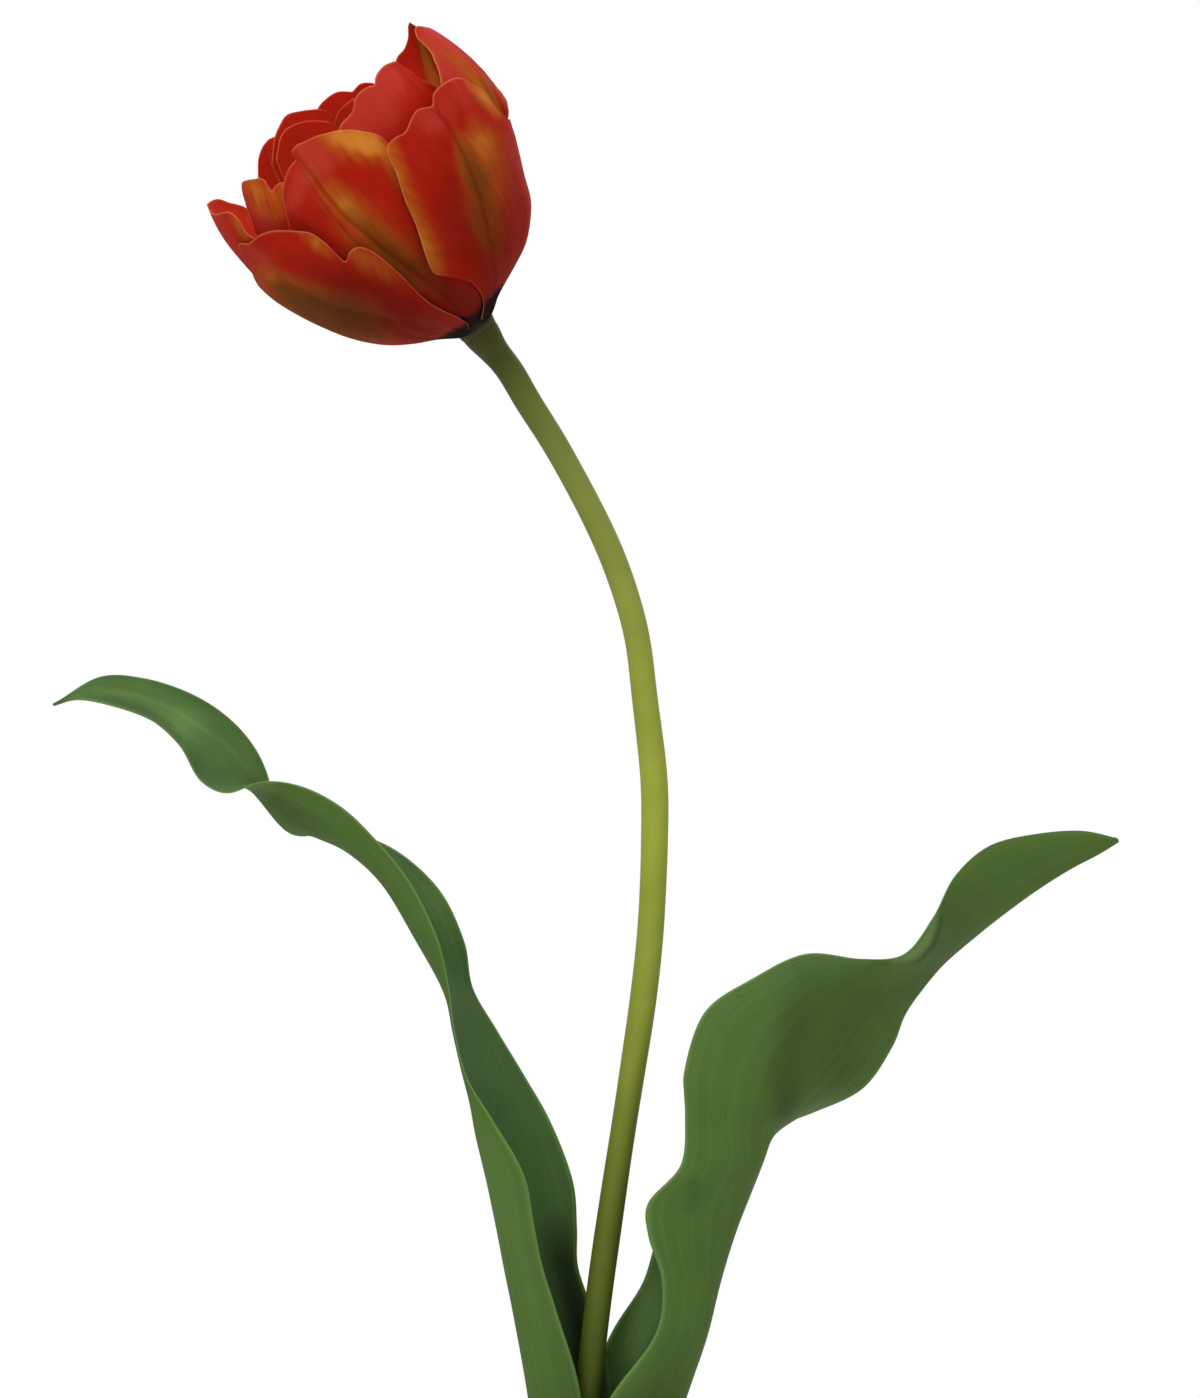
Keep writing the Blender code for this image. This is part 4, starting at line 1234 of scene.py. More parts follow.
    def left_tip(self) -> Petal:
        """Plans the far left petal, whose tip curls out and shows its inner face.

        Returns:
            The petal.
        """
        flare, bulge = 2.2, 1.2
        outline = [(-140, 16.0), (-148, 34.0)]
        far = [(262, 236), (254, 220), (246, 208), (238, 205), (230, 203), (217, 199)]
        outline += self.space.edge(1, -102, far, True, flare, bulge)
        near = [
            (206, 205), (209, 209), (215, 214), (221, 213), (228, 212), (234, 215), (240, 222), (244, 229),
            (249, 235), (254, 238),
        ]
        outline += self.space.edge(1, -102, near, False, flare, bulge)
        outline += [(-56, 46.0), (-56, 40.0), (-60, 28.0), (-72, 14.0)]
        strokes = (
            Stroke(Tint.PINK_AND_HIGHLIGHT, [(216, 216, 10), (226, 240, 10), (240, 262, 10)], 0.9),
            Stroke(Tint.GOLD_AND_LIGHT, [(232, 218, 5, 0.5), (238, 225, 6, 0.62), (245, 236, 6, 0.4)]),
        )
        return Petal("petal_left_tip", 1, -102, outline, 8, flare=flare, bulge=bulge, strokes=strokes,
                     ruffle=0.1, columns=164, rows=72, seed=14)

    def left_inner(self) -> Petal:
        """Plans the small notched petal behind the far left one.

        Returns:
            The petal.
        """
        edge = [
            (268, 262), (258, 236), (250, 216), (245, 203), (242, 190), (242, 183), (247, 180), (254, 179),
            (261, 178), (266, 181), (269, 187), (272, 191), (275, 186), (280, 183), (288, 182), (298, 186),
            (306, 205), (312, 240),
        ]
        strokes = (
            Stroke(Tint.GOLD_AND_LIGHT, [(253, 184, 12, 0.64), (264, 188, 16, 0.64), (284, 190, 14, 0.6)]),
            Stroke(Tint.GOLD_AND_LIGHT, [(262, 206, 16, 0.3), (278, 210, 14, 0.4)]),
            Stroke(Tint.PINK_AND_HIGHLIGHT, [(244, 190, 5, 0.5), (246, 206, 6, 0.5)]),
            # Painted light: pink that brightens the lower part, which lies in its neighbours' shade.
            Stroke(Tint.PINK_AND_HIGHLIGHT, [(262, 216, 14), (272, 238, 16)], 0.8),
        )
        outline = self.space.edge(1.5, -66, edge)
        return Petal("petal_left_inner", 1.5, -66, outline, 9, midrib=0.2, strokes=strokes, ruffle=0.15,
                     seed=15)

    def rose(self) -> Petal:
        """Plans the large rose-tinted petal behind the front ones.

        Returns:
            The petal.
        """
        edge = [
            (334, 190), (337, 150), (338, 133), (341, 124), (348, 117), (353, 110), (355, 99), (361, 91),
            (368, 87), (374, 85), (375, 78), (378, 72), (385, 65), (395, 61), (402, 66), (412, 73),
            (420, 79), (433, 86), (442, 96), (448, 106), (462, 128), (472, 160),
        ]
        strokes = (
            Stroke(Tint.PINK_AND_HIGHLIGHT, [(350, 122, 24), (368, 104, 28), (388, 82, 18)], 0.95),
            Stroke(Tint.PINK_AND_HIGHLIGHT, [(372, 130, 20), (390, 116, 12)], 0.4),
            Stroke(Tint.GOLD_AND_LIGHT, [(404, 72, 5), (420, 86, 8)], 0.22),
        )
        outline = self.space.edge(2, 33, edge)
        return Petal("petal_rose", 2, 33, outline, 13, midrib=0.1, strokes=strokes, ruffle=0.2, columns=164,
                     rows=80, seed=16)

    def spike(self) -> Petal:
        """Plans the pointed petal at the top, whose inner face shows.

        Returns:
            The petal.
        """
        flare = 2.2
        outline = [(92, 18.0), (92, 46.0)]
        edge = [
            (424, 60), (419, 46), (417, 38), (415, 31), (413.2, 26), (411.2, 22), (409.2, 22.6), (408.3, 26),
            (408.4, 32), (408, 38), (404, 49), (396, 62),
        ]
        outline += self.space.edge(1.1, 122, edge, True, flare)
        outline += [(152, 46.0), (150, 18.0)]
        strokes = (
            Stroke(Tint.BARE, [(411, 24, 4, 1.0), (411, 34, 3, 0.4)]),
            Stroke(Tint.PINK_AND_HIGHLIGHT, [(411, 24, 4, 0.9), (411, 34, 3, 0.5)]),
            # Painted light: a bright gold strip where the curled edge of the next petal catches the light.
            Stroke(Tint.BARE, [(420, 42, 4, 0.9), (426, 56, 6, 1.0), (431, 70, 7, 1.0), (437, 84, 8, 0.8)]),
            Stroke(Tint.GOLD_AND_LIGHT, [(420, 42, 4, 0.9), (426, 56, 7, 1.1), (431, 70, 8, 1.1), (437, 84, 8, 0.9)]),
            Stroke(Tint.BARE, [(400, 62, 7)], 0.4),
            Stroke(Tint.GOLD_AND_LIGHT, [(400, 62, 7)], 0.4),
        )
        return Petal("petal_spike", 1.1, 122, outline, 7, flare=flare, midrib=0.1, strokes=strokes,
                     seen_to=180.0, ruffle=0.05, columns=190, seed=17)

    def top_right(self) -> Petal:
        """Plans the outer petal at the upper right, with one edge curled in.

        Returns:
            The petal.
        """
        flare, bulge = 0.9, 2.6
        outline = [(70, 18.0), (56, 34.0)]
        edge = [(447, 104), (442, 88), (440, 76), (435, 63), (431.5, 54)]
        outline += self.space.edge(1, 92, edge, False, flare, bulge)
        outline += [
            (66.9, 66.8), (67.7, 68.5), (68.1, 69.6), (69.1, 70.4), (71.4, 71.5), (73, 72), (75.2, 72.1),
            (76.9, 71.6), (80, 70.4), (85, 69), (92, 67.2), (99, 65), (110, 59.5), (120, 49.5), (124, 40),
            (124, 28), (116, 14),
        ]
        strokes = (
            Stroke(Tint.PINK_AND_HIGHLIGHT, [(426, 34, 12), (442, 52, 18), (454, 78, 16), (462, 100, 12)], 0.85),
            Stroke(Tint.GOLD_AND_LIGHT, [(421, 44, 4), (429, 56, 7), (438, 80, 5)], 0.8),
            Stroke(Tint.GOLD_AND_LIGHT, [(438, 44, 8, 0.25), (448, 54, 9, 0.32), (460, 62, 9, 0.38),
                               (472, 76, 9, 0.46), (484, 94, 8, 0.72), (496, 113, 5, 0.7)]),
            # Painted light: an orange strip along the edge, where light shines through the petal.
            Stroke(Tint.GOLD_AND_LIGHT, [(486, 72, 4, 0.2), (494, 82, 5, 0.4), (502, 95, 5, 0.44),
                               (509, 112, 5, 0.4)]),
            Stroke(Tint.FLAME, [(476, 72, 4, 0.2), (484, 85, 5, 0.6), (493, 101, 4.5, 0.7),
                                (500, 115, 3, 0.5)]),
            Stroke(Tint.SHADE, [(487, 78, 1.8, 0.1), (494, 91, 2.0, 0.4), (501, 107, 2.0, 0.5),
                                (506, 119, 1.8, 0.4)]),
        )
        swell = (
            Stroke(Tint.SHADE, [(478, 68, 16, 0.3), (486, 78, 18, 0.6), (494, 90, 18, 0.85),
                                (500, 101, 17, 1.3), (503, 110, 15, 2), (505, 117, 13, 2.4),
                                (506, 127, 11, 1.1)]),
        )
        return Petal("petal_top_right", 1, 92, outline, 14, flare=flare, bulge=bulge, midrib=0.1,
                     strokes=strokes, swell=swell, seen_to=122.0, ruffle=0.1, columns=164, rows=80, seed=18)

    def behind(self) -> list[Petal]:
        """Plans the petals of the far side, whose inner faces show, and their nested neighbours.

        Returns:
            The petals.
        """
        left = [
            (300, 175), (292, 150), (282, 139), (275, 137), (269, 139), (263, 147), (259, 158), (258, 175),
            (262, 196),
        ]
        middle = [
            (345, 150), (336, 120), (326, 111), (316, 109), (301, 111), (287, 115), (280, 125), (275, 138),
            (271, 165),
        ]
        right = [
            (395, 110), (384, 88), (374, 83), (362, 83), (352, 92), (338, 92), (326, 99), (317, 110),
            (310, 140),
        ]
        inner = [(340, 150), (333, 124), (321, 121), (306, 121), (291, 126), (281, 136), (276, 160)]
        rolled = [
            (392, 130), (380, 100), (362, 96), (353, 99), (346, 104), (339, 111), (335, 121), (334, 131),
            (330, 150),
        ]
        edges = (
            ("petal_back_left", 2.0, -141, 4, left),
            ("petal_back_middle", 3.0, -173, 3, middle),
            ("petal_back_right", 2.5, 160, 4, right),
            ("petal_nested_middle", 3.6, -171, 3, inner),
            ("petal_nested_right", 3.2, 158, 3, rolled),
        )
        found = []
        for number, (name, layer, centre, tip, pixels) in enumerate(edges):
            outline = self.space.edge(layer, centre, pixels, True)
            found.append(Petal(name, layer, centre, outline, tip, ruffle=0.3, columns=112, rows=52,
                               seed=30 + number))
        return found

    def ruled(self) -> list[Petal]:
        """Plans the back petal and the hidden inner whorls by a rule.

        Returns:
            The petals.
        """
        found = [Petal("petal_back", 0, 172, self.space.round_edge(172, 52, 62.0), 8, ruffle=0.5,
                       columns=164, rows=72, seed=50)]
        whorls = [
            (3, -8, 56, 36), (3, 66, 60, 36), (3, -96, 58, 36), (4, 20, 54, 36), (4.4, 92, 55, 36),
            (4.4, -128, 55, 36), (4.2, -56, 54, 36), (5, 55, 44, 50), (5, -65, 43, 50), (5, 175, 46, 50),
        ]
        for number, (layer, centre, height, half) in enumerate(whorls):
            outline = self.space.round_edge(centre, half, height)
            found.append(Petal(f"petal_inner_{number + 1}", layer, centre, outline, 8, ruffle=0.55,
                               columns=64, rows=32, seed=60 + number))
        return found

    def build(self) -> None:
        """Makes and dresses every petal and the receptacle."""
        outer = [self.front_right(), self.front_left(), self.middle(), self.left_tip(), self.left_inner()]
        outer += [self.rose(), self.spike(), self.top_right()]
        satin, lining = self.finish.material(), self.lining_finish.material()
        for petal in outer + self.behind() + self.ruled():
            piece = petal.build(self.space)
            piece.data.materials.append(satin if petal in outer else lining)
            place_piece(piece, "petal_red", "bloom")
        self.receptacle(StemFinish("receptacle_skin").material())

    def receptacle(self, material: bpy.types.Material) -> None:
        """Makes the short cone that the petals grow from.

        Args:
            material: Its material, green below and dark above.
        """
        ends = [(0.0, self.cone[0][1]), (0.0, self.cone[-1][1])]
        side = smooth_path(self.cone, 32)
        piece = Lathe("receptacle", [ends[0], *map(tuple, side), ends[1]], 64).build(material)
        points = read_points(piece)
        Blade.store(piece.data, "along", np.ones(len(points)))
        Blade.store(piece.data, Tint.DARK.value, eased((points[:, 2] - 0.8) / 1.5))
        stand_on_flower(piece, self.space)
        place_piece(piece, "petal_red", "bloom")


# Turned and repeated shapes, made by geometry nodes


class GeometryRecipe:
    """A geometry node tree that is built in code, run once on a piece and turned into a mesh."""

    def __init__(self, name: str, sizes: dict[str, int | float]) -> None:
        """Starts the tree.

        Args:
            name: The tree's name.
            sizes: The named inputs, with their starting values.
        """
        self.tree = bpy.data.node_groups.new(name, "GeometryNodeTree")
        self.bench = NodeBench(self.tree)
        sockets = self.tree.interface
        sockets.new_socket("Geometry", in_out="INPUT", socket_type="NodeSocketGeometry")
        for label, start in sizes.items():
            kind = "NodeSocketInt" if isinstance(start, int) else "NodeSocketFloat"
            sockets.new_socket(label, in_out="INPUT", socket_type=kind).default_value = start
        sockets.new_socket("Material", in_out="INPUT", socket_type="NodeSocketMaterial")
        sockets.new_socket("Geometry", in_out="OUTPUT", socket_type="NodeSocketGeometry")
        self.given = self.bench.add("NodeGroupInput").outputs

    def end(self, geometry: Socket) -> "GeometryRecipe":
        """Ends the tree in Realize Instances and Set Material.

        Args:
            geometry: The finished geometry.

        Returns:
            The recipe.
        """
        smooth = self.bench.result("GeometryNodeSetShadeSmooth", {"Geometry": geometry})
        real = self.bench.result("GeometryNodeRealizeInstances", {"Geometry": smooth})
        inputs = {"Geometry": real, "Material": self.given["Material"]}
        dressed = self.bench.result("GeometryNodeSetMaterial", inputs)
        self.bench.add("NodeGroupOutput", {"Geometry": dressed})
        return self

    def run(self, item: Piece, values: dict[str, object]) -> Piece:
        """Runs the tree on a piece and keeps the result as its plain mesh.

        Args:
            item: The piece, whose mesh the tree reads.
            values: A value for each named input.

        Returns:
            The piece.
        """
        modifier = item.modifiers.new(self.tree.name, "NODES")
        modifier.node_group = self.tree
        names = {s.name: s.identifier for s in self.tree.interface.items_tree if s.in_out == "INPUT"}
        for label, value in values.items():
            modifier[names[label]] = value
        graph = bpy.context.evaluated_depsgraph_get()
        mesh = bpy.data.meshes.new_from_object(item.evaluated_get(graph))
        item.modifiers.clear()
        item.data = mesh
        return item


def turning_recipe() -> GeometryRecipe:
    """Builds the tree that turns a profile round Z.

    Returns:
        The recipe, which reads a chain of points whose X is the radius.
    """
    recipe = GeometryRecipe("Turned on a wheel", {"Sides": 64, "Points": 8})
    bench, given = recipe.bench, recipe.given
    columns = bench.calculate("ADD", given["Sides"], 1.0)
    inputs = {"Size X": 1.0, "Size Y": 1.0, "Vertices X": columns, "Vertices Y": given["Points"]}
    grid = bench.result("GeometryNodeMeshGrid", inputs)
    index = bench.result("GeometryNodeInputIndex")
    column = bench.calculate("DIVIDE", bench.calculate("ADD", index, 0.5), given["Points"])
    column = bench.calculate("FLOOR", column)
    row = bench.calculate("SUBTRACT", index, bench.times(column, given["Points"]))
    place = bench.result("GeometryNodeInputPosition")
    inputs = {"Geometry": given["Geometry"], "Value": place, "Index": row}
    spot = bench.result("GeometryNodeSampleIndex", inputs, data_type="FLOAT_VECTOR")
    parts = bench.add("ShaderNodeSeparateXYZ", {"Vector": spot}).outputs
    turn = bench.times(bench.calculate("DIVIDE", column, given["Sides"]), math.tau)
    x, y = (bench.times(parts["X"], bench.calculate(wave, turn)) for wave in ("COSINE", "SINE"))
    target = bench.result("ShaderNodeCombineXYZ", {"X": x, "Y": y, "Z": parts["Z"]})
    moved = bench.result("GeometryNodeSetPosition", {"Geometry": grid, "Position": target})
    return recipe.end(bench.result("GeometryNodeMergeByDistance", {"Geometry": moved, "Distance": 1e-6}))


def tube_recipe() -> GeometryRecipe:
    """Builds the tree that makes a round tube along a chain of points.

    Returns:
        The recipe, which reads the tube's radius from the attribute "girth".
    """
    recipe = GeometryRecipe("Grown along a path", {"Sides": 32})
    bench, given = recipe.bench, recipe.given
    curve = bench.result("GeometryNodeMeshToCurve", {"Mesh": given["Geometry"]})
    girth = bench.result("GeometryNodeInputNamedAttribute", {"Name": "girth"}, data_type="FLOAT")
    sized = bench.result("GeometryNodeSetCurveRadius", {"Curve": curve, "Radius": girth})
    ring = bench.result("GeometryNodeCurvePrimitiveCircle", {"Resolution": given["Sides"], "Radius": 1.0})
    swept = bench.add("GeometryNodeCurveToMesh", {"Curve": sized, "Profile Curve": ring, "Fill Caps": True})
    if "Scale" in swept.inputs:
        bench.tree.links.new(girth, swept.inputs["Scale"])
    return recipe.end(swept.outputs[0])


def ring_recipe() -> GeometryRecipe:
    """Builds the tree that sets copies of a piece round a ring, each leaning out a little.

    Returns:
        The recipe, which reads one upright piece.
    """
    recipe = GeometryRecipe("Set round a ring", {"Count": 6, "Radius": 0.002, "Splay": 0.14, "Seed": 5})
    bench, given = recipe.bench, recipe.given
    ring = bench.result("GeometryNodeMeshCircle", {"Vertices": given["Count"], "Radius": given["Radius"]})
    turn = bench.calculate("DIVIDE", bench.result("GeometryNodeInputIndex"), given["Count"])
    inputs = {2: -0.05, 3: 0.05, "Seed": given["Seed"]}
    jitter = bench.add("FunctionNodeRandomValue", inputs, data_type="FLOAT").outputs[1]
    lean = bench.calculate("ADD", given["Splay"], jitter)
    angles = bench.result("ShaderNodeCombineXYZ", {"Y": lean, "Z": bench.times(turn, math.tau)})
    inputs = {"Points": ring, "Instance": given["Geometry"], "Rotation": angles}
    return recipe.end(bench.result("GeometryNodeInstanceOnPoints", inputs))


RECIPES = {"turned": turning_recipe(), "tube": tube_recipe(), "ring": ring_recipe()}


def chain_object(name: str, points: Line | np.ndarray) -> Piece:
    """Makes an object of points joined in a chain.

    Args:
        name: The object's name.
        points: The points, in millimetres.

    Returns:
        The object.
    """
    mesh = bpy.data.meshes.new(name)
    edges = [(index, index + 1) for index in range(len(points) - 1)]
    mesh.from_pydata((np.asarray(points) * METRES).tolist(), edges, [])
    return add_object(name, mesh)


@dataclass
class Lathe:
    """A round piece turned from (radius, height) pairs that start and end on the axis."""

    name: str
    profile: Line
    sides: int

    @classmethod
    def rounded(cls, name: str, profile: Line, count: int, sides: int) -> "Lathe":
        """Rounds a rough profile while both its ends stay on the axis.

        Args:
            name: The piece's name.
            profile: The rough profile.
            count: How many points the finer profile has.
            sides: How many sides the piece has.

        Returns:
            The lathe for the finer profile.
        """
        path = smooth_path(profile, count)
        path[:, 0] = np.maximum(path[:, 0], 0.0)
        path[0, 0] = path[-1, 0] = 0.0
        return cls(name, path, sides)

    def build(self, material: bpy.types.Material) -> Piece:
        """Turns the piece.

        Args:
            material: Its material.

        Returns:
            The piece, upright at the origin.
        """
        item = chain_object(self.name, [(radius, 0.0, height) for radius, height in self.profile])
        values = {"Sides": self.sides, "Points": len(self.profile), "Material": material}
        return RECIPES["turned"].run(item, values)


def read_points(item: Piece) -> np.ndarray:
    """Reads a piece's points.

    Args:
        item: The piece.

    Returns:
        The points, in millimetres.
    """
    flat = np.empty(len(item.data.vertices) * 3)
    item.data.vertices.foreach_get("co", flat)
    return flat.reshape(-1, 3) / METRES


def write_points(item: Piece, points: np.ndarray) -> None:
    """Moves a piece's points to new places, in millimetres."""
    item.data.vertices.foreach_set("co", (points * METRES).ravel())
    item.data.update()


def stand_on_flower(item: Piece, space: FlowerSpace) -> None:
    """Moves a piece made round Z onto the flower's axis.

    Args:
        item: The piece.
        space: The flower's axis.
    """
    local = read_points(item)
    placed = space.base + np.outer(local[:, 0], space.right) - np.outer(local[:, 1], space.front)
    write_points(item, placed + np.outer(local[:, 2], space.axis))


def place_piece(item: Piece, slot: str, *nodes: str) -> None:
    """Attaches a finished piece to the body, hides the solids that it stands for and logs its size.

    Args:
        item: The piece.
        slot: The material slot's name; not used.
        *nodes: The solids that it stands for.
    """
    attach(item, BODY)
    if nodes:
        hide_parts(*nodes)
    LOG.info("%s: %d points, %d faces", item.name, len(item.data.vertices), len(item.data.polygons))


@dataclass
class Heart:
    """The pistil with its three-lobed tip and six stamens, inside the petals."""

    space: FlowerSpace
    seat: float = 8.1
    lobe_size: float = 0.16
    lobe_height: float = 15.0
    rib_size: float = 0.05
    stamen_count: int = 6
    stamen_ring: float = 2.0
    stamen_rise: float = 0.7
    stamen_seed: int = 5
    splay: float = math.radians(8.0)
    pistil: Line = (
        (0, 0), (2.8, 0), (2.9, 0.7), (2.5, 1.6), (2.1, 2.8), (2.2, 6), (2.35, 10), (2.3, 14), (1.9, 16.2),
        (2.2, 17.4), (3, 18.4), (3.1, 19.4), (2.3, 20.3), (0, 20.5),
    )
    stamen: Line = (
        (0, 0), (0.55, 0), (0.5, 4), (0.42, 9), (0.7, 9.5), (1, 10.3), (1.1, 13), (1, 16), (0.6, 17.4),
        (0, 17.8),
    )

    def build(self) -> None:
        """Makes and dresses the pistil and the stamens."""
        tissue = HeartFinish("pistil_tissue", (0.20, 0.26, 0.07), (0.42, 0.40, 0.14)).material()
        pollen = HeartFinish("stamen_pollen", (0.020, 0.014, 0.022), (0.10, 0.06, 0.05)).material()
        pistil = Lathe.rounded("pistil", self.pistil, 70, 60).build(tissue)
        points = read_points(pistil)
        wave = np.cos(3 * np.arctan2(points[:, 1], points[:, 0]))
        tip = eased((points[:, 2] - self.lobe_height) / 3.0)
        points[:, :2] *= (1.0 + self.lobe_size * wave * tip + self.rib_size * wave)[:, None]
        write_points(pistil, points + [0.0, 0.0, self.seat])
        stamens = Lathe.rounded("stamens", self.stamen, 40, 18).build(pollen)
        values = {"Count": self.stamen_count, "Radius": self.stamen_ring * METRES, "Splay": self.splay}
        RECIPES["ring"].run(stamens, values | {"Seed": self.stamen_seed, "Material": pollen})
        write_points(stamens, read_points(stamens) + [0.0, 0.0, self.seat + self.stamen_rise])
        for piece in (pistil, stamens):
            stand_on_flower(piece, self.space)
            place_piece(piece, "heart_dark", "heart")


# Stem


@dataclass
class Stem:
    """The bowed stem, from its cut end on the vase's floor to the flower.

    The points in the vase are (x, height from the picture's edge), and the points seen are
    pixels. Each swell is (size, length, turn).
    """

    space: FlowerSpace
    seen: Line = (
        (586.5, 1398), (600, 1288), (615.5, 1180), (633, 1067), (643, 1000), (650.5, 930), (654.5, 840),
        (654, 780), (645, 700), (637.5, 640), (627.5, 600), (613, 558.5), (596, 520.5), (575, 480),
        (553, 441), (528, 401.5), (509, 369.5),
    )
    in_vase: Line = ((-22.6, -143.0), (-18.2, -98.0), (-13.8, -60.0), (-9.4, -28.0))
    foot_x: float = -26.0
    foot_z: float = 7.6
    below_flower: Sequence[float] = (5.0, 2.0, 0.06)
    bow: float = 5.0
    radius: float = 3.3
    neck_radius: float = 4.7
    neck_length: float = 5.0
    swells: Line = ((0.10, 23.0, 0.0), (0.06, 9.0, 1.0))
    sides: int = 40
    rings: int = 420

    def depth(self, height: float) -> float:
        """How far the stem bows back from the picture's plane at a height."""
        share = (height - PICTURE.bottom_z) / (self.space.base[2] - PICTURE.bottom_z)
        return self.bow * math.sin(math.pi * min(max(share, 0.0), 1.0))

    def route(self) -> np.ndarray:
        """Finds the stem's middle line.

        Returns:
            Its points, upwards.
        """
        points = [np.array([self.foot_x, 0.0, self.foot_z])]
        points += [np.array([x, 0.0, PICTURE.bottom_z + below]) for x, below in self.in_vase]
        points += [PICTURE.seen_at(*pixel, self.depth(PICTURE.seen_at(*pixel)[2])) for pixel in self.seen]
        points += [self.space.base - self.space.axis * below for below in self.below_flower]
        return np.array(points)

    def centre(self, height: float) -> np.ndarray:
        """X and Y of the stem's middle at a height inside the vase."""
        path = smooth_path(self.route(), 400)
        return np.array([np.interp(height, path[:, 2], path[:, axis]) for axis in (0, 1)])

    def build(self) -> None:
        """Makes and dresses the stem."""
        path = smooth_path(self.route(), self.rings)
        walked = walked_along(path)
        flare = np.exp(-(((walked[-1] - walked) / self.neck_length) ** 2))
        swell = sum(size * np.sin(walked / length + turn) for size, length, turn in self.swells)
        girth = self.radius + (self.neck_radius - self.radius) * flare + swell * (1.0 - flare)
        item = chain_object("stem_skin", path)
        Blade.store(item.data, "girth", girth * METRES)
        Blade.store(item.data, "along", walked / walked[-1])
        RECIPES["tube"].run(item, {"Sides": self.sides, "Material": StemFinish().material()})
        place_piece(item, "stem_green", "stem")


# Leaves


@dataclass
class Leaf:
    """A long waved leaf that clasps the stem inside the vase.

    Each station gives the near edge, the keel and the far edge as (column, row, depth), and how
    far round the blade curls there, in degrees. Inside the vase a station is the height from
    the picture's edge, the same three as offsets from the stem's middle, and the curl.
    """

    name: str
    node: str
    stem: Stem
    clasp: tuple
    seen: tuple
    strokes: tuple[Stroke, ...]
    first_is_inside: bool
    seed: int
    rows: int = 330
    columns: int = 40
    edge_thickness: float = 0.25
    body_gain: float = 0.5
    margin: float = 0.35
    tip_share: float = 0.04
    tip_thinness: float = 0.4

    def stations(self) -> np.ndarray:
        """Lays every station at its real place.

        Returns:
            One row for each: near edge, keel, far edge and curl.
        """
        rows = []
        for below, *offsets, curl in self.clasp:
            height = PICTURE.bottom_z + below
            centre = self.stem.centre(height)
            spots = [[*(centre + np.array(offset)), height] for offset in offsets]
            rows.append(np.concatenate([*spots, [math.radians(curl)]]))
        for *pixels, curl in self.seen:
            spots = [PICTURE.seen_at(*pixel) for pixel in pixels]
            rows.append(np.concatenate([*spots, [math.radians(curl)]]))
        return np.array(rows)

    def surface(self) -> np.ndarray:
        """Works out the blade's middle surface.

        Returns:
            The grid of points.
        """
        path = smooth_path(self.stations(), self.rows + 1)
        share = np.linspace(-1.0, 1.0, self.columns + 1)
        near, keel, far, curl = path[:, None, 0:3], path[:, None, 3:6], path[:, None, 6:9], path[:, 9:10]
        rise = (1 - np.cos(share * curl)) / (1 - np.cos(curl))
        reach = np.sin(share * curl) / np.sin(curl)
        return keel + ((near + far) / 2 - keel) * rise[..., None] + (far - near) / 2 * reach[..., None]

    def build(self) -> None:
        """Makes and dresses the leaf."""
        points = self.surface()
        across = np.abs(np.linspace(-1.0, 1.0, self.columns + 1))
        tip = eased((1.0 - np.linspace(0.0, 1.0, self.rows + 1)[:, None]) / self.tip_share)
        thickness = self.edge_thickness + self.body_gain * eased((1.0 - across) / self.margin)
        thickness = thickness * (self.tip_thinness + (1.0 - self.tip_thinness) * tip)
        pixels = PICTURE.pixels_of(points)
        # The gold strokes are painted light and the shade strokes painted shade.
        masks = {tint.value: painted(self.strokes, tint, pixels) for tint in (Tint.GOLD_AND_LIGHT, Tint.SHADE)}
        masks["rim"] = np.broadcast_to(eased((across - 0.95) / 0.05), points.shape[:2])
        piece = Blade(self.name, points, thickness, masks, self.first_is_inside).build()
        piece.data.materials.append(LeafFinish(f"{self.name}_skin", self.seed).material())
        place_piece(piece, "leaf_green", self.node)


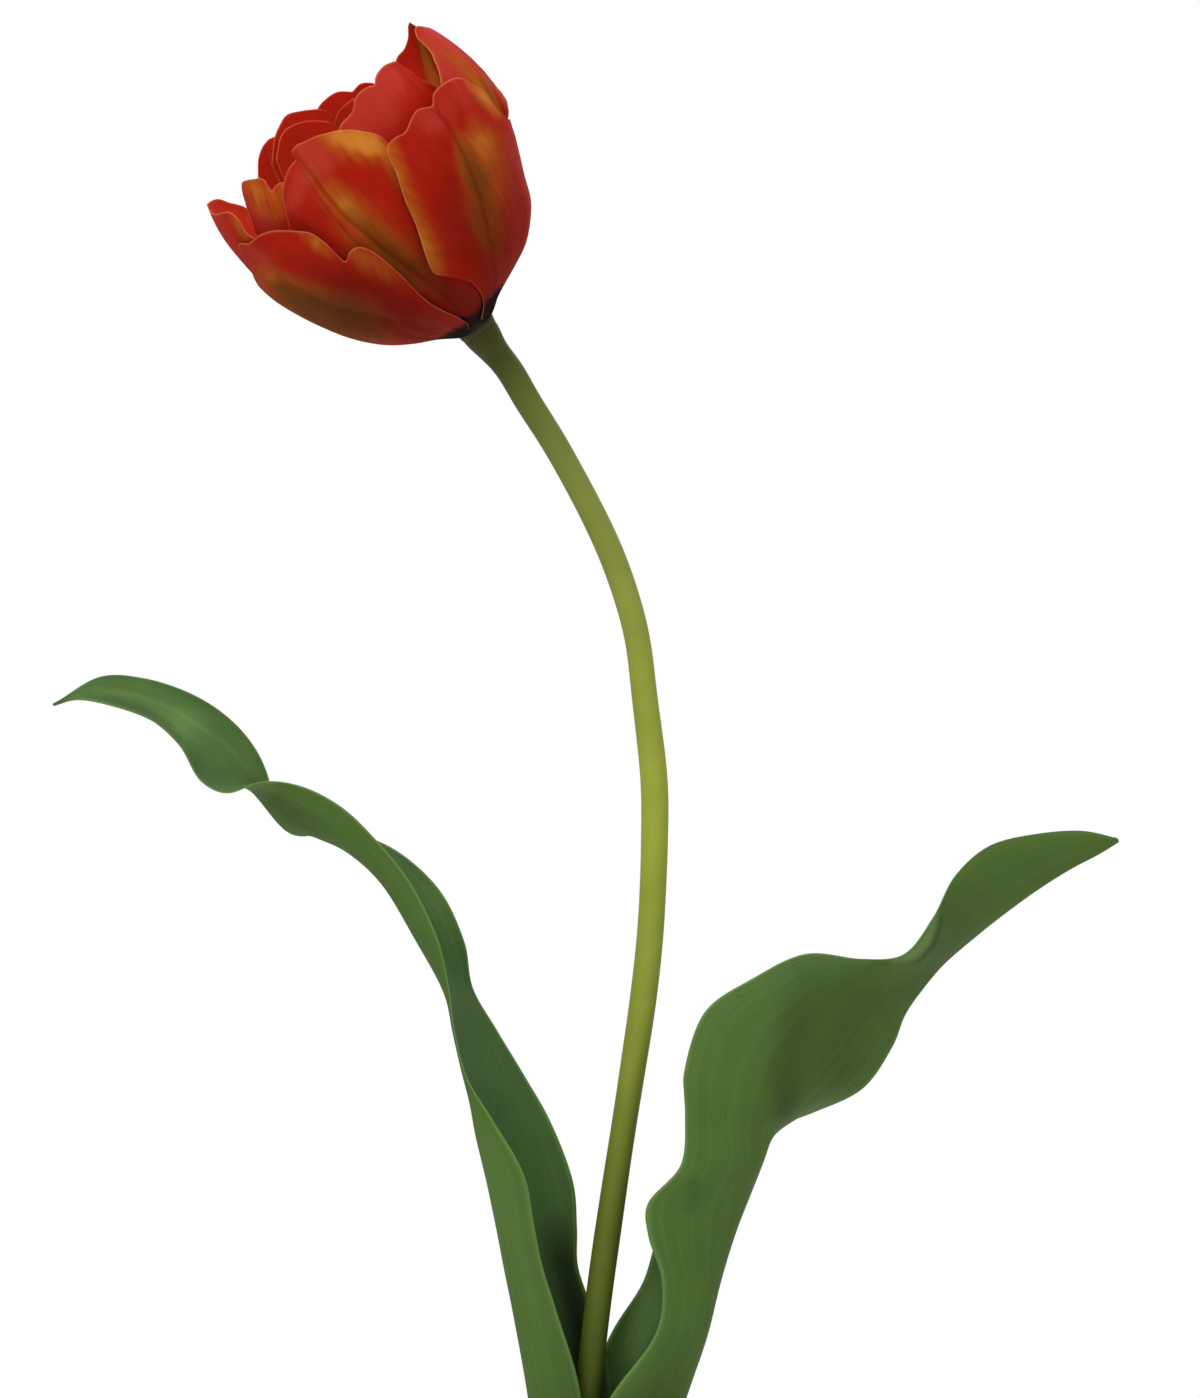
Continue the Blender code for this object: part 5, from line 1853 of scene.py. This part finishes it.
def left_leaf(stem: Stem) -> Leaf:
    """Plans the leaf that bends over to the left.

    Args:
        stem: The stem that it clasps.

    Returns:
        The leaf.
    """
    clasp = (
        (-42, (1.9, -3.6), (-4.1, 0), (1.9, 3.6), 118),
        (-36, (2, -3.8), (-4.4, 0), (2.2, 3.8), 116),
        (-22, (1.4, -5.6), (-8.2, 0), (3.4, 5.4), 100),
    )
    seen = (
        ((581, 1398, -8), (531, 1398, 0), (612, 1398, 7.5), 82),
        ((556, 1310, -9), (516, 1310, 0), (592, 1310, 9), 78),
        ((542, 1265, -9.5), (508, 1270, 0), (578, 1266, 10), 75),
        ((534, 1225, -10), (501, 1230, 0), (577, 1228, 11), 72),
        ((524, 1175, -10.5), (492, 1185, 0), (573, 1182, 12.5), 66),
        ((492, 1119, -11), (483, 1135, -1), (550, 1121, 13), 55),
        ((467, 1078, -11), (479, 1090, 0), (525, 1077, 13), 45),
        ((454, 1028, -11), (464, 1040, 1), (496, 1029, 13), 40),
        ((449, 990, -11), (449, 995, 0), (473, 989, 12.5), 52),
        ((438, 940, -11), (418, 939, -1), (464, 941, 11.5), 66),
        ((411, 884, -10.5), (385, 885, -2), (437, 887, 10.5), 68),
        ((377, 841, -10), (350, 853, -2), (390, 847, 9.5), 66),
        ((340, 806, -9.5), (315, 834, -1.5), (338, 831, 9), 60),
        ((300, 786, -8.5), (283, 816, 0), (296, 835, 9), 50),
        ((262, 782, -8), (256, 794, 2), (275, 808, 9), 40),
        ((227, 793, -8.5), (240, 780, 4), (268, 776, 8), 40),
        ((201, 781, -9), (222, 757, 3), (255, 748, 6.5), 42),
        ((180, 746, -8.5), (198, 727, 1), (229, 718, 5), 42),
        ((150, 719, -7), (160, 712, -0.5), (192, 694, 3.5), 40),
        ((114, 706, -4.5), (119, 698, -1), (143, 678, 1.5), 36),
        ((80, 699, -2.5), (82, 694, -1), (99, 677, 0), 30),
        ((54, 706, -1.2), (53, 704.5, -1), (55, 703, -0.8), 20),
    )
    # Gold strokes: painted light. Shade strokes: painted shade.
    strokes = (
        Stroke(Tint.GOLD_AND_LIGHT, [(80, 692, 16, 0.4), (140, 694, 22, 0.56), (195, 728, 24, 0.62),
                           (240, 764, 20, 0.56)]),
        Stroke(Tint.GOLD_AND_LIGHT, [(226, 716, 12, 0.3), (254, 752, 14, 0.5), (268, 780, 10, 0.5)]),
        Stroke(Tint.GOLD_AND_LIGHT, [(96, 690, 2.2, 0.2), (137, 696, 2.4, 0.6), (175, 711, 2.4, 0.7),
                           (221, 741, 2.4, 0.7), (247, 768, 2.2, 0.4)]),
        Stroke(Tint.SHADE, [(84, 696, 3, 0.1), (112, 701, 4.5, 0.34), (142, 712, 5.5, 0.42),
                            (166, 726, 5.5, 0.42), (178, 740, 4, 0.25)]),
        Stroke(Tint.SHADE, [(276, 800, 8, 0.25), (290, 812, 12, 0.3), (312, 826, 12, 0.2)]),
        Stroke(Tint.GOLD_AND_LIGHT, [(420, 875, 14, 0.1), (438, 905, 15, 0.3), (452, 950, 10, 0.05)]),
        Stroke(Tint.GOLD_AND_LIGHT, [(474, 1120, 16, 0.1), (500, 1200, 24, 0.26), (522, 1290, 24, 0.15)]),
        Stroke(Tint.SHADE, [(590, 1396, 11, 0.95), (583, 1345, 13, 0.95), (575, 1305, 16, 0.94),
                            (564, 1262, 18, 0.86), (557, 1230, 17, 0.4)]),
    )
    return Leaf("leaf_left_blade", "leaf_left", stem, clasp, seen, strokes, True, 3)


def right_leaf(stem: Stem) -> Leaf:
    """Plans the broad leaf that opens to the right and wraps the other one's base.

    Args:
        stem: The stem that it clasps.

    Returns:
        The leaf.
    """
    clasp = (
        (-78, (-1.9, -3.6), (4.1, 0), (-1.9, 3.6), 118),
        (-70, (-2.2, -4.2), (4.8, 0), (-2.2, 4.2), 116),
        (-54, (-3.6, -6.4), (9.4, 0), (-3.6, 6.4), 112),
        (-34, (-3.4, -8.2), (16, 0), (-4, 8.4), 104),
        (-16, (1, -9.2), (21.4, 0), (-3.4, 10), 94),
    )
    seen = (
        ((610, 1398, -10), (684, 1398, 0), (583, 1398, 11), 86),
        ((656, 1333, -11), (704, 1333, -0.5), (613, 1330, 12), 80),
        ((662, 1282, -12), (719, 1282, -1), (643, 1282, 13), 72),
        ((648, 1235, -13), (734, 1234, -2), (662, 1226, 14), 64),
        ((648, 1203, -13), (747, 1196, -3), (696, 1184, 14.5), 58),
        ((681, 1164, -12), (759, 1160, -5), (737, 1150, 13.5), 52),
        ((685, 1115, -11), (762, 1128, -7), (770, 1131, 10), 48),
        ((684, 1094, -10.2), (771, 1110, -8.2), (793, 1120, 8), 46),
        ((684, 1073, -9.5), (778, 1092, -9), (814, 1112, 6), 44),
        ((705, 1012, -8), (800, 1052, -9.5), (863, 1088, 3), 40),
        ((752, 979, -7), (828, 1018, -9.5), (892, 1047, 2), 38),
        ((806, 954, -8), (856, 990, -9), (905, 1015, 4), 38),
        ((862, 959, -11), (888, 975, -7), (922, 990, 7), 42),
        ((903, 955, -13), (914, 962, -5), (943, 965, 9), 48),
        ((933, 918, -12), (943, 930, -4), (974, 938, 7), 46),
        ((955, 876, -9), (973, 895, -5), (1003, 915, 3.5), 40),
        ((989, 846, -6.5), (1011, 868, -5), (1036, 891, 0.5), 36),
        ((1036, 834, -5), (1052, 852, -4.6), (1069, 870, -1), 34),
        ((1084, 831, -4.4), (1093, 843, -4.2), (1101, 853, -2.4), 30),
        ((1117, 838, -4.2), (1118.5, 840, -4.2), (1119, 842, -3.8), 20),
    )
    # Gold strokes: painted light. Shade strokes: painted shade.
    strokes = (
        Stroke(Tint.SHADE, [(814, 975, 20, 0.15), (800, 1020, 24, 0.34), (786, 1068, 20, 0.4),
                            (784, 1108, 14, 0.4)]),
        Stroke(Tint.SHADE, [(850, 1000, 34, 0.26), (838, 1060, 30, 0.28)]),
        Stroke(Tint.SHADE, [(960, 930, 20, 0.15), (915, 990, 16, 0.15)]),
        Stroke(Tint.SHADE, [(694, 1184, 8, 0.25), (690, 1206, 8, 0.2)]),
        Stroke(Tint.SHADE, [(735, 990, 1.6, 0.3), (752, 1012, 1.4, 0.05)]),
        Stroke(Tint.SHADE, [(745, 985, 1.6, 0.26), (760, 1006, 1.4, 0.05)]),
        Stroke(Tint.SHADE, [(793, 960, 2.0, 0.3), (800, 978, 1.8, 0.05)]),
        Stroke(Tint.SHADE, [(676, 1345, 18, 0.12), (660, 1398, 24, 0.3)]),
        Stroke(Tint.GOLD_AND_LIGHT, [(652, 1272, 12, 0.2), (640, 1310, 18, 0.34), (626, 1348, 16, 0.3)]),
        Stroke(Tint.GOLD_AND_LIGHT, [(893, 960, 2.5, 0.6), (905, 957, 3.5, 0.85), (916, 951, 5, 0.95),
                           (925, 940, 5.5, 0.95), (931, 926, 4.5, 0.95), (935, 914, 2.6, 0.8),
                           (941, 899, 1.6, 0.5)]),
        Stroke(Tint.SHADE, [(908, 964, 1.8, 0.2), (921, 958, 2.2, 0.45), (932, 945, 2.4, 0.5),
                            (938, 929, 2.2, 0.45), (941, 914, 1.8, 0.2)]),
        Stroke(Tint.GOLD_AND_LIGHT, [(612, 1390, 14, 0.3), (628, 1345, 16, 0.5), (645, 1285, 10, 0.3)]),
    )
    return Leaf("leaf_right_blade", "leaf_right", stem, clasp, seen, strokes, False, 7, columns=48)


# Vase and water


@dataclass
class Vase:
    """A plain turned vase with a rounded lip, a bare foot and water in it.

    The outside starts at the foot's edge. Its lip is half an ellipse, and the hollow's corner
    is a quarter of one.
    """

    height: float = 190.0
    wall: float = 3.6
    floor: float = 7.0
    outside: Line = (
        (34, 0), (36.4, 2.4), (42.6, 24), (46, 54), (43.6, 84), (35.4, 114), (27.4, 139), (23.6, 160),
        (23.2, 175), (25.6, 188.4),
    )
    foot: Line = ((0.0, 0.0), (33.2, 0.0), (34.0, 0.15), (35.2, 1.0))
    side_start: float = 2.4
    lip_height: float = 1.6
    lip_steps: int = 12
    corner_width: float = 7.0
    corner_height: float = 4.0
    corner_steps: int = 6
    flat_margin: float = 16.0
    sides: int = 160

    def side(self, inset: float, lowest: float, highest: float, count: int) -> list[Pixel]:
        """Points on the vase's side between two heights.

        Args:
            inset: How far in from the outside.
            lowest: The lower height.
            highest: The upper height.
            count: How many points.

        Returns:
            The (radius, height) pairs, upwards.
        """
        curve = smooth_path(self.outside, 240)
        heights = np.linspace(lowest, highest, count)
        return [(float(np.interp(z, curve[:, 1], curve[:, 0])) - inset, float(z)) for z in heights]

    def profile(self) -> list[Pixel]:
        """Draws the whole section.

        Returns:
            The (radius, height) pairs, from the underside's middle, over the lip, to the floor's.
        """
        lip, corner = self.height - self.lip_height, self.floor + self.corner_height
        outer = self.side(0.0, self.side_start, lip, 90)
        inner = self.side(self.wall, corner, lip, 80)
        middle, half = (outer[-1][0] + inner[-1][0]) / 2, (outer[-1][0] - inner[-1][0]) / 2
        points = [*self.foot, *outer]
        for step in range(1, self.lip_steps):
            turn = math.pi * step / self.lip_steps
            points.append((middle + half * math.cos(turn), lip + self.lip_height * math.sin(turn)))
        points += inner[::-1]
        radius = inner[0][0]
        for step in range(1, self.corner_steps + 1):
            turn = math.pi / 2 * step / self.corner_steps
            sunk = self.corner_height * (1 - math.cos(turn))
            points.append((radius - self.corner_width * math.sin(turn), corner - sunk))
        return points + [(radius - self.flat_margin, self.floor), (0.0, self.floor)]

    def build(self) -> None:
        """Makes and dresses the vase, and dresses the water."""
        piece = Lathe("vase_turned", self.profile(), self.sides).build(GlazeFinish().material())
        place_piece(piece, "glaze", "vase")
        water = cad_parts["water"]
        water.data.materials.clear()
        water.data.materials.append(WaterFinish().material())


# Studio


@dataclass
class Studio:
    """A pale floor, soft lights and the camera at the picture's viewing angle.

    Each light is (name, place in metres, width, power in watts) and looks at aim.
    """

    floor_radius: float = 1.5
    floor_sides: int = 96
    sky_light: float = 0.73
    low_light: float = 0.22
    aim: Place = (0.0, 0.0, 0.34)
    lights: tuple[tuple[str, Place, float, float], ...] = (
        ("key", (-0.9, -1.5, 1.7), 1.1, 20.0),
        ("fill", (1.6, -1.3, 0.7), 1.4, 3.0),
        ("top", (0.2, 0.7, 1.9), 1.2, 12.0),
    )

    def floor(self) -> None:
        """Makes the floor."""
        mesh = bpy.data.meshes.new("floor")
        turns = [math.tau * side / self.floor_sides for side in range(self.floor_sides)]
        ring = [(self.floor_radius * math.cos(t), self.floor_radius * math.sin(t), 0.0) for t in turns]
        mesh.from_pydata(ring, [], [list(range(self.floor_sides))])
        mesh.materials.append(FloorFinish(self.floor_radius).material())
        item = add_object("floor", mesh)

    def light(self, name: str, place: Place, size: float, power: float) -> None:
        """Hangs one soft light.

        Args:
            name: The light's name.
            place: Where it hangs, in metres.
            size: Its width.
            power: Its power in watts.
        """
        lamp = bpy.data.lights.new(name, "AREA")
        lamp.shape = "DISK"
        lamp.size = size
        lamp.energy = power
        item = add_object(name, lamp)
        item.location = place
        item.rotation_euler = (Vector(self.aim) - Vector(place)).to_track_quat("-Z", "Y").to_euler()

    def sky(self) -> None:
        """Makes the white background, and the dimmer light that it gives."""
        world = bpy.data.worlds.new("studio")
        bpy.context.scene.world = world
        world.use_nodes = True
        bench = NodeBench(world.node_tree)
        seen = bench.add("ShaderNodeLightPath").outputs["Is Camera Ray"]
        way = bench.add("ShaderNodeTexCoord").outputs["Generated"]
        upward = bench.add("ShaderNodeSeparateXYZ", {"Vector": way}).outputs["Z"]
        given = bench.ramp(bench.edge(upward, -0.5, 0.7), self.sky_light - self.low_light, self.low_light)
        strength = bench.ramp(seen, bench.calculate("SUBTRACT", 1.0, given), given)
        sky = bench.result("ShaderNodeBackground", {"Color": (1.0, 1.0, 1.0), "Strength": strength})
        bench.add("ShaderNodeOutputWorld", {"Surface": sky})

    def camera(self) -> None:
        """Sets the camera so that one pixel of the picture is as large as Picture says."""
        sensor = 36.0
        lens = bpy.data.cameras.new("camera")
        lens.sensor_width = sensor
        lens.lens = sensor * PICTURE.distance / (PICTURE.height * PICTURE.pixel)
        lens.clip_end = 50.0
        item = add_object("camera", lens)
        item.location = Vector((PICTURE.middle[0], -PICTURE.distance, PICTURE.middle[1])) * METRES
        item.rotation_euler = (math.pi / 2, 0.0, 0.0)
        bpy.context.scene.camera = item

    def build(self) -> None:
        """Sets up the whole studio."""
        self.floor()
        self.sky()
        for light in self.lights:
            self.light(*light)
        self.camera()
        view = bpy.context.scene.view_settings
        view.view_transform = "Standard"
        view.look = "None"


def main() -> None:
    """Builds every piece in order."""
    logging.basicConfig(level=logging.INFO, format="%(name)s %(message)s")
    space = FlowerSpace()
    stem = Stem(space)
    Vase().build()
    stem.build()
    left_leaf(stem).build()
    right_leaf(stem).build()
    Heart(space).build()
    inner = PetalFinish("petal_inner_satin", 9.0, pale_rim_and_light_share=0.2)
    Bloom(space, PetalFinish("petal_satin", 2.0), inner).build()
    Studio().build()


if __name__ == "__main__":
    main()
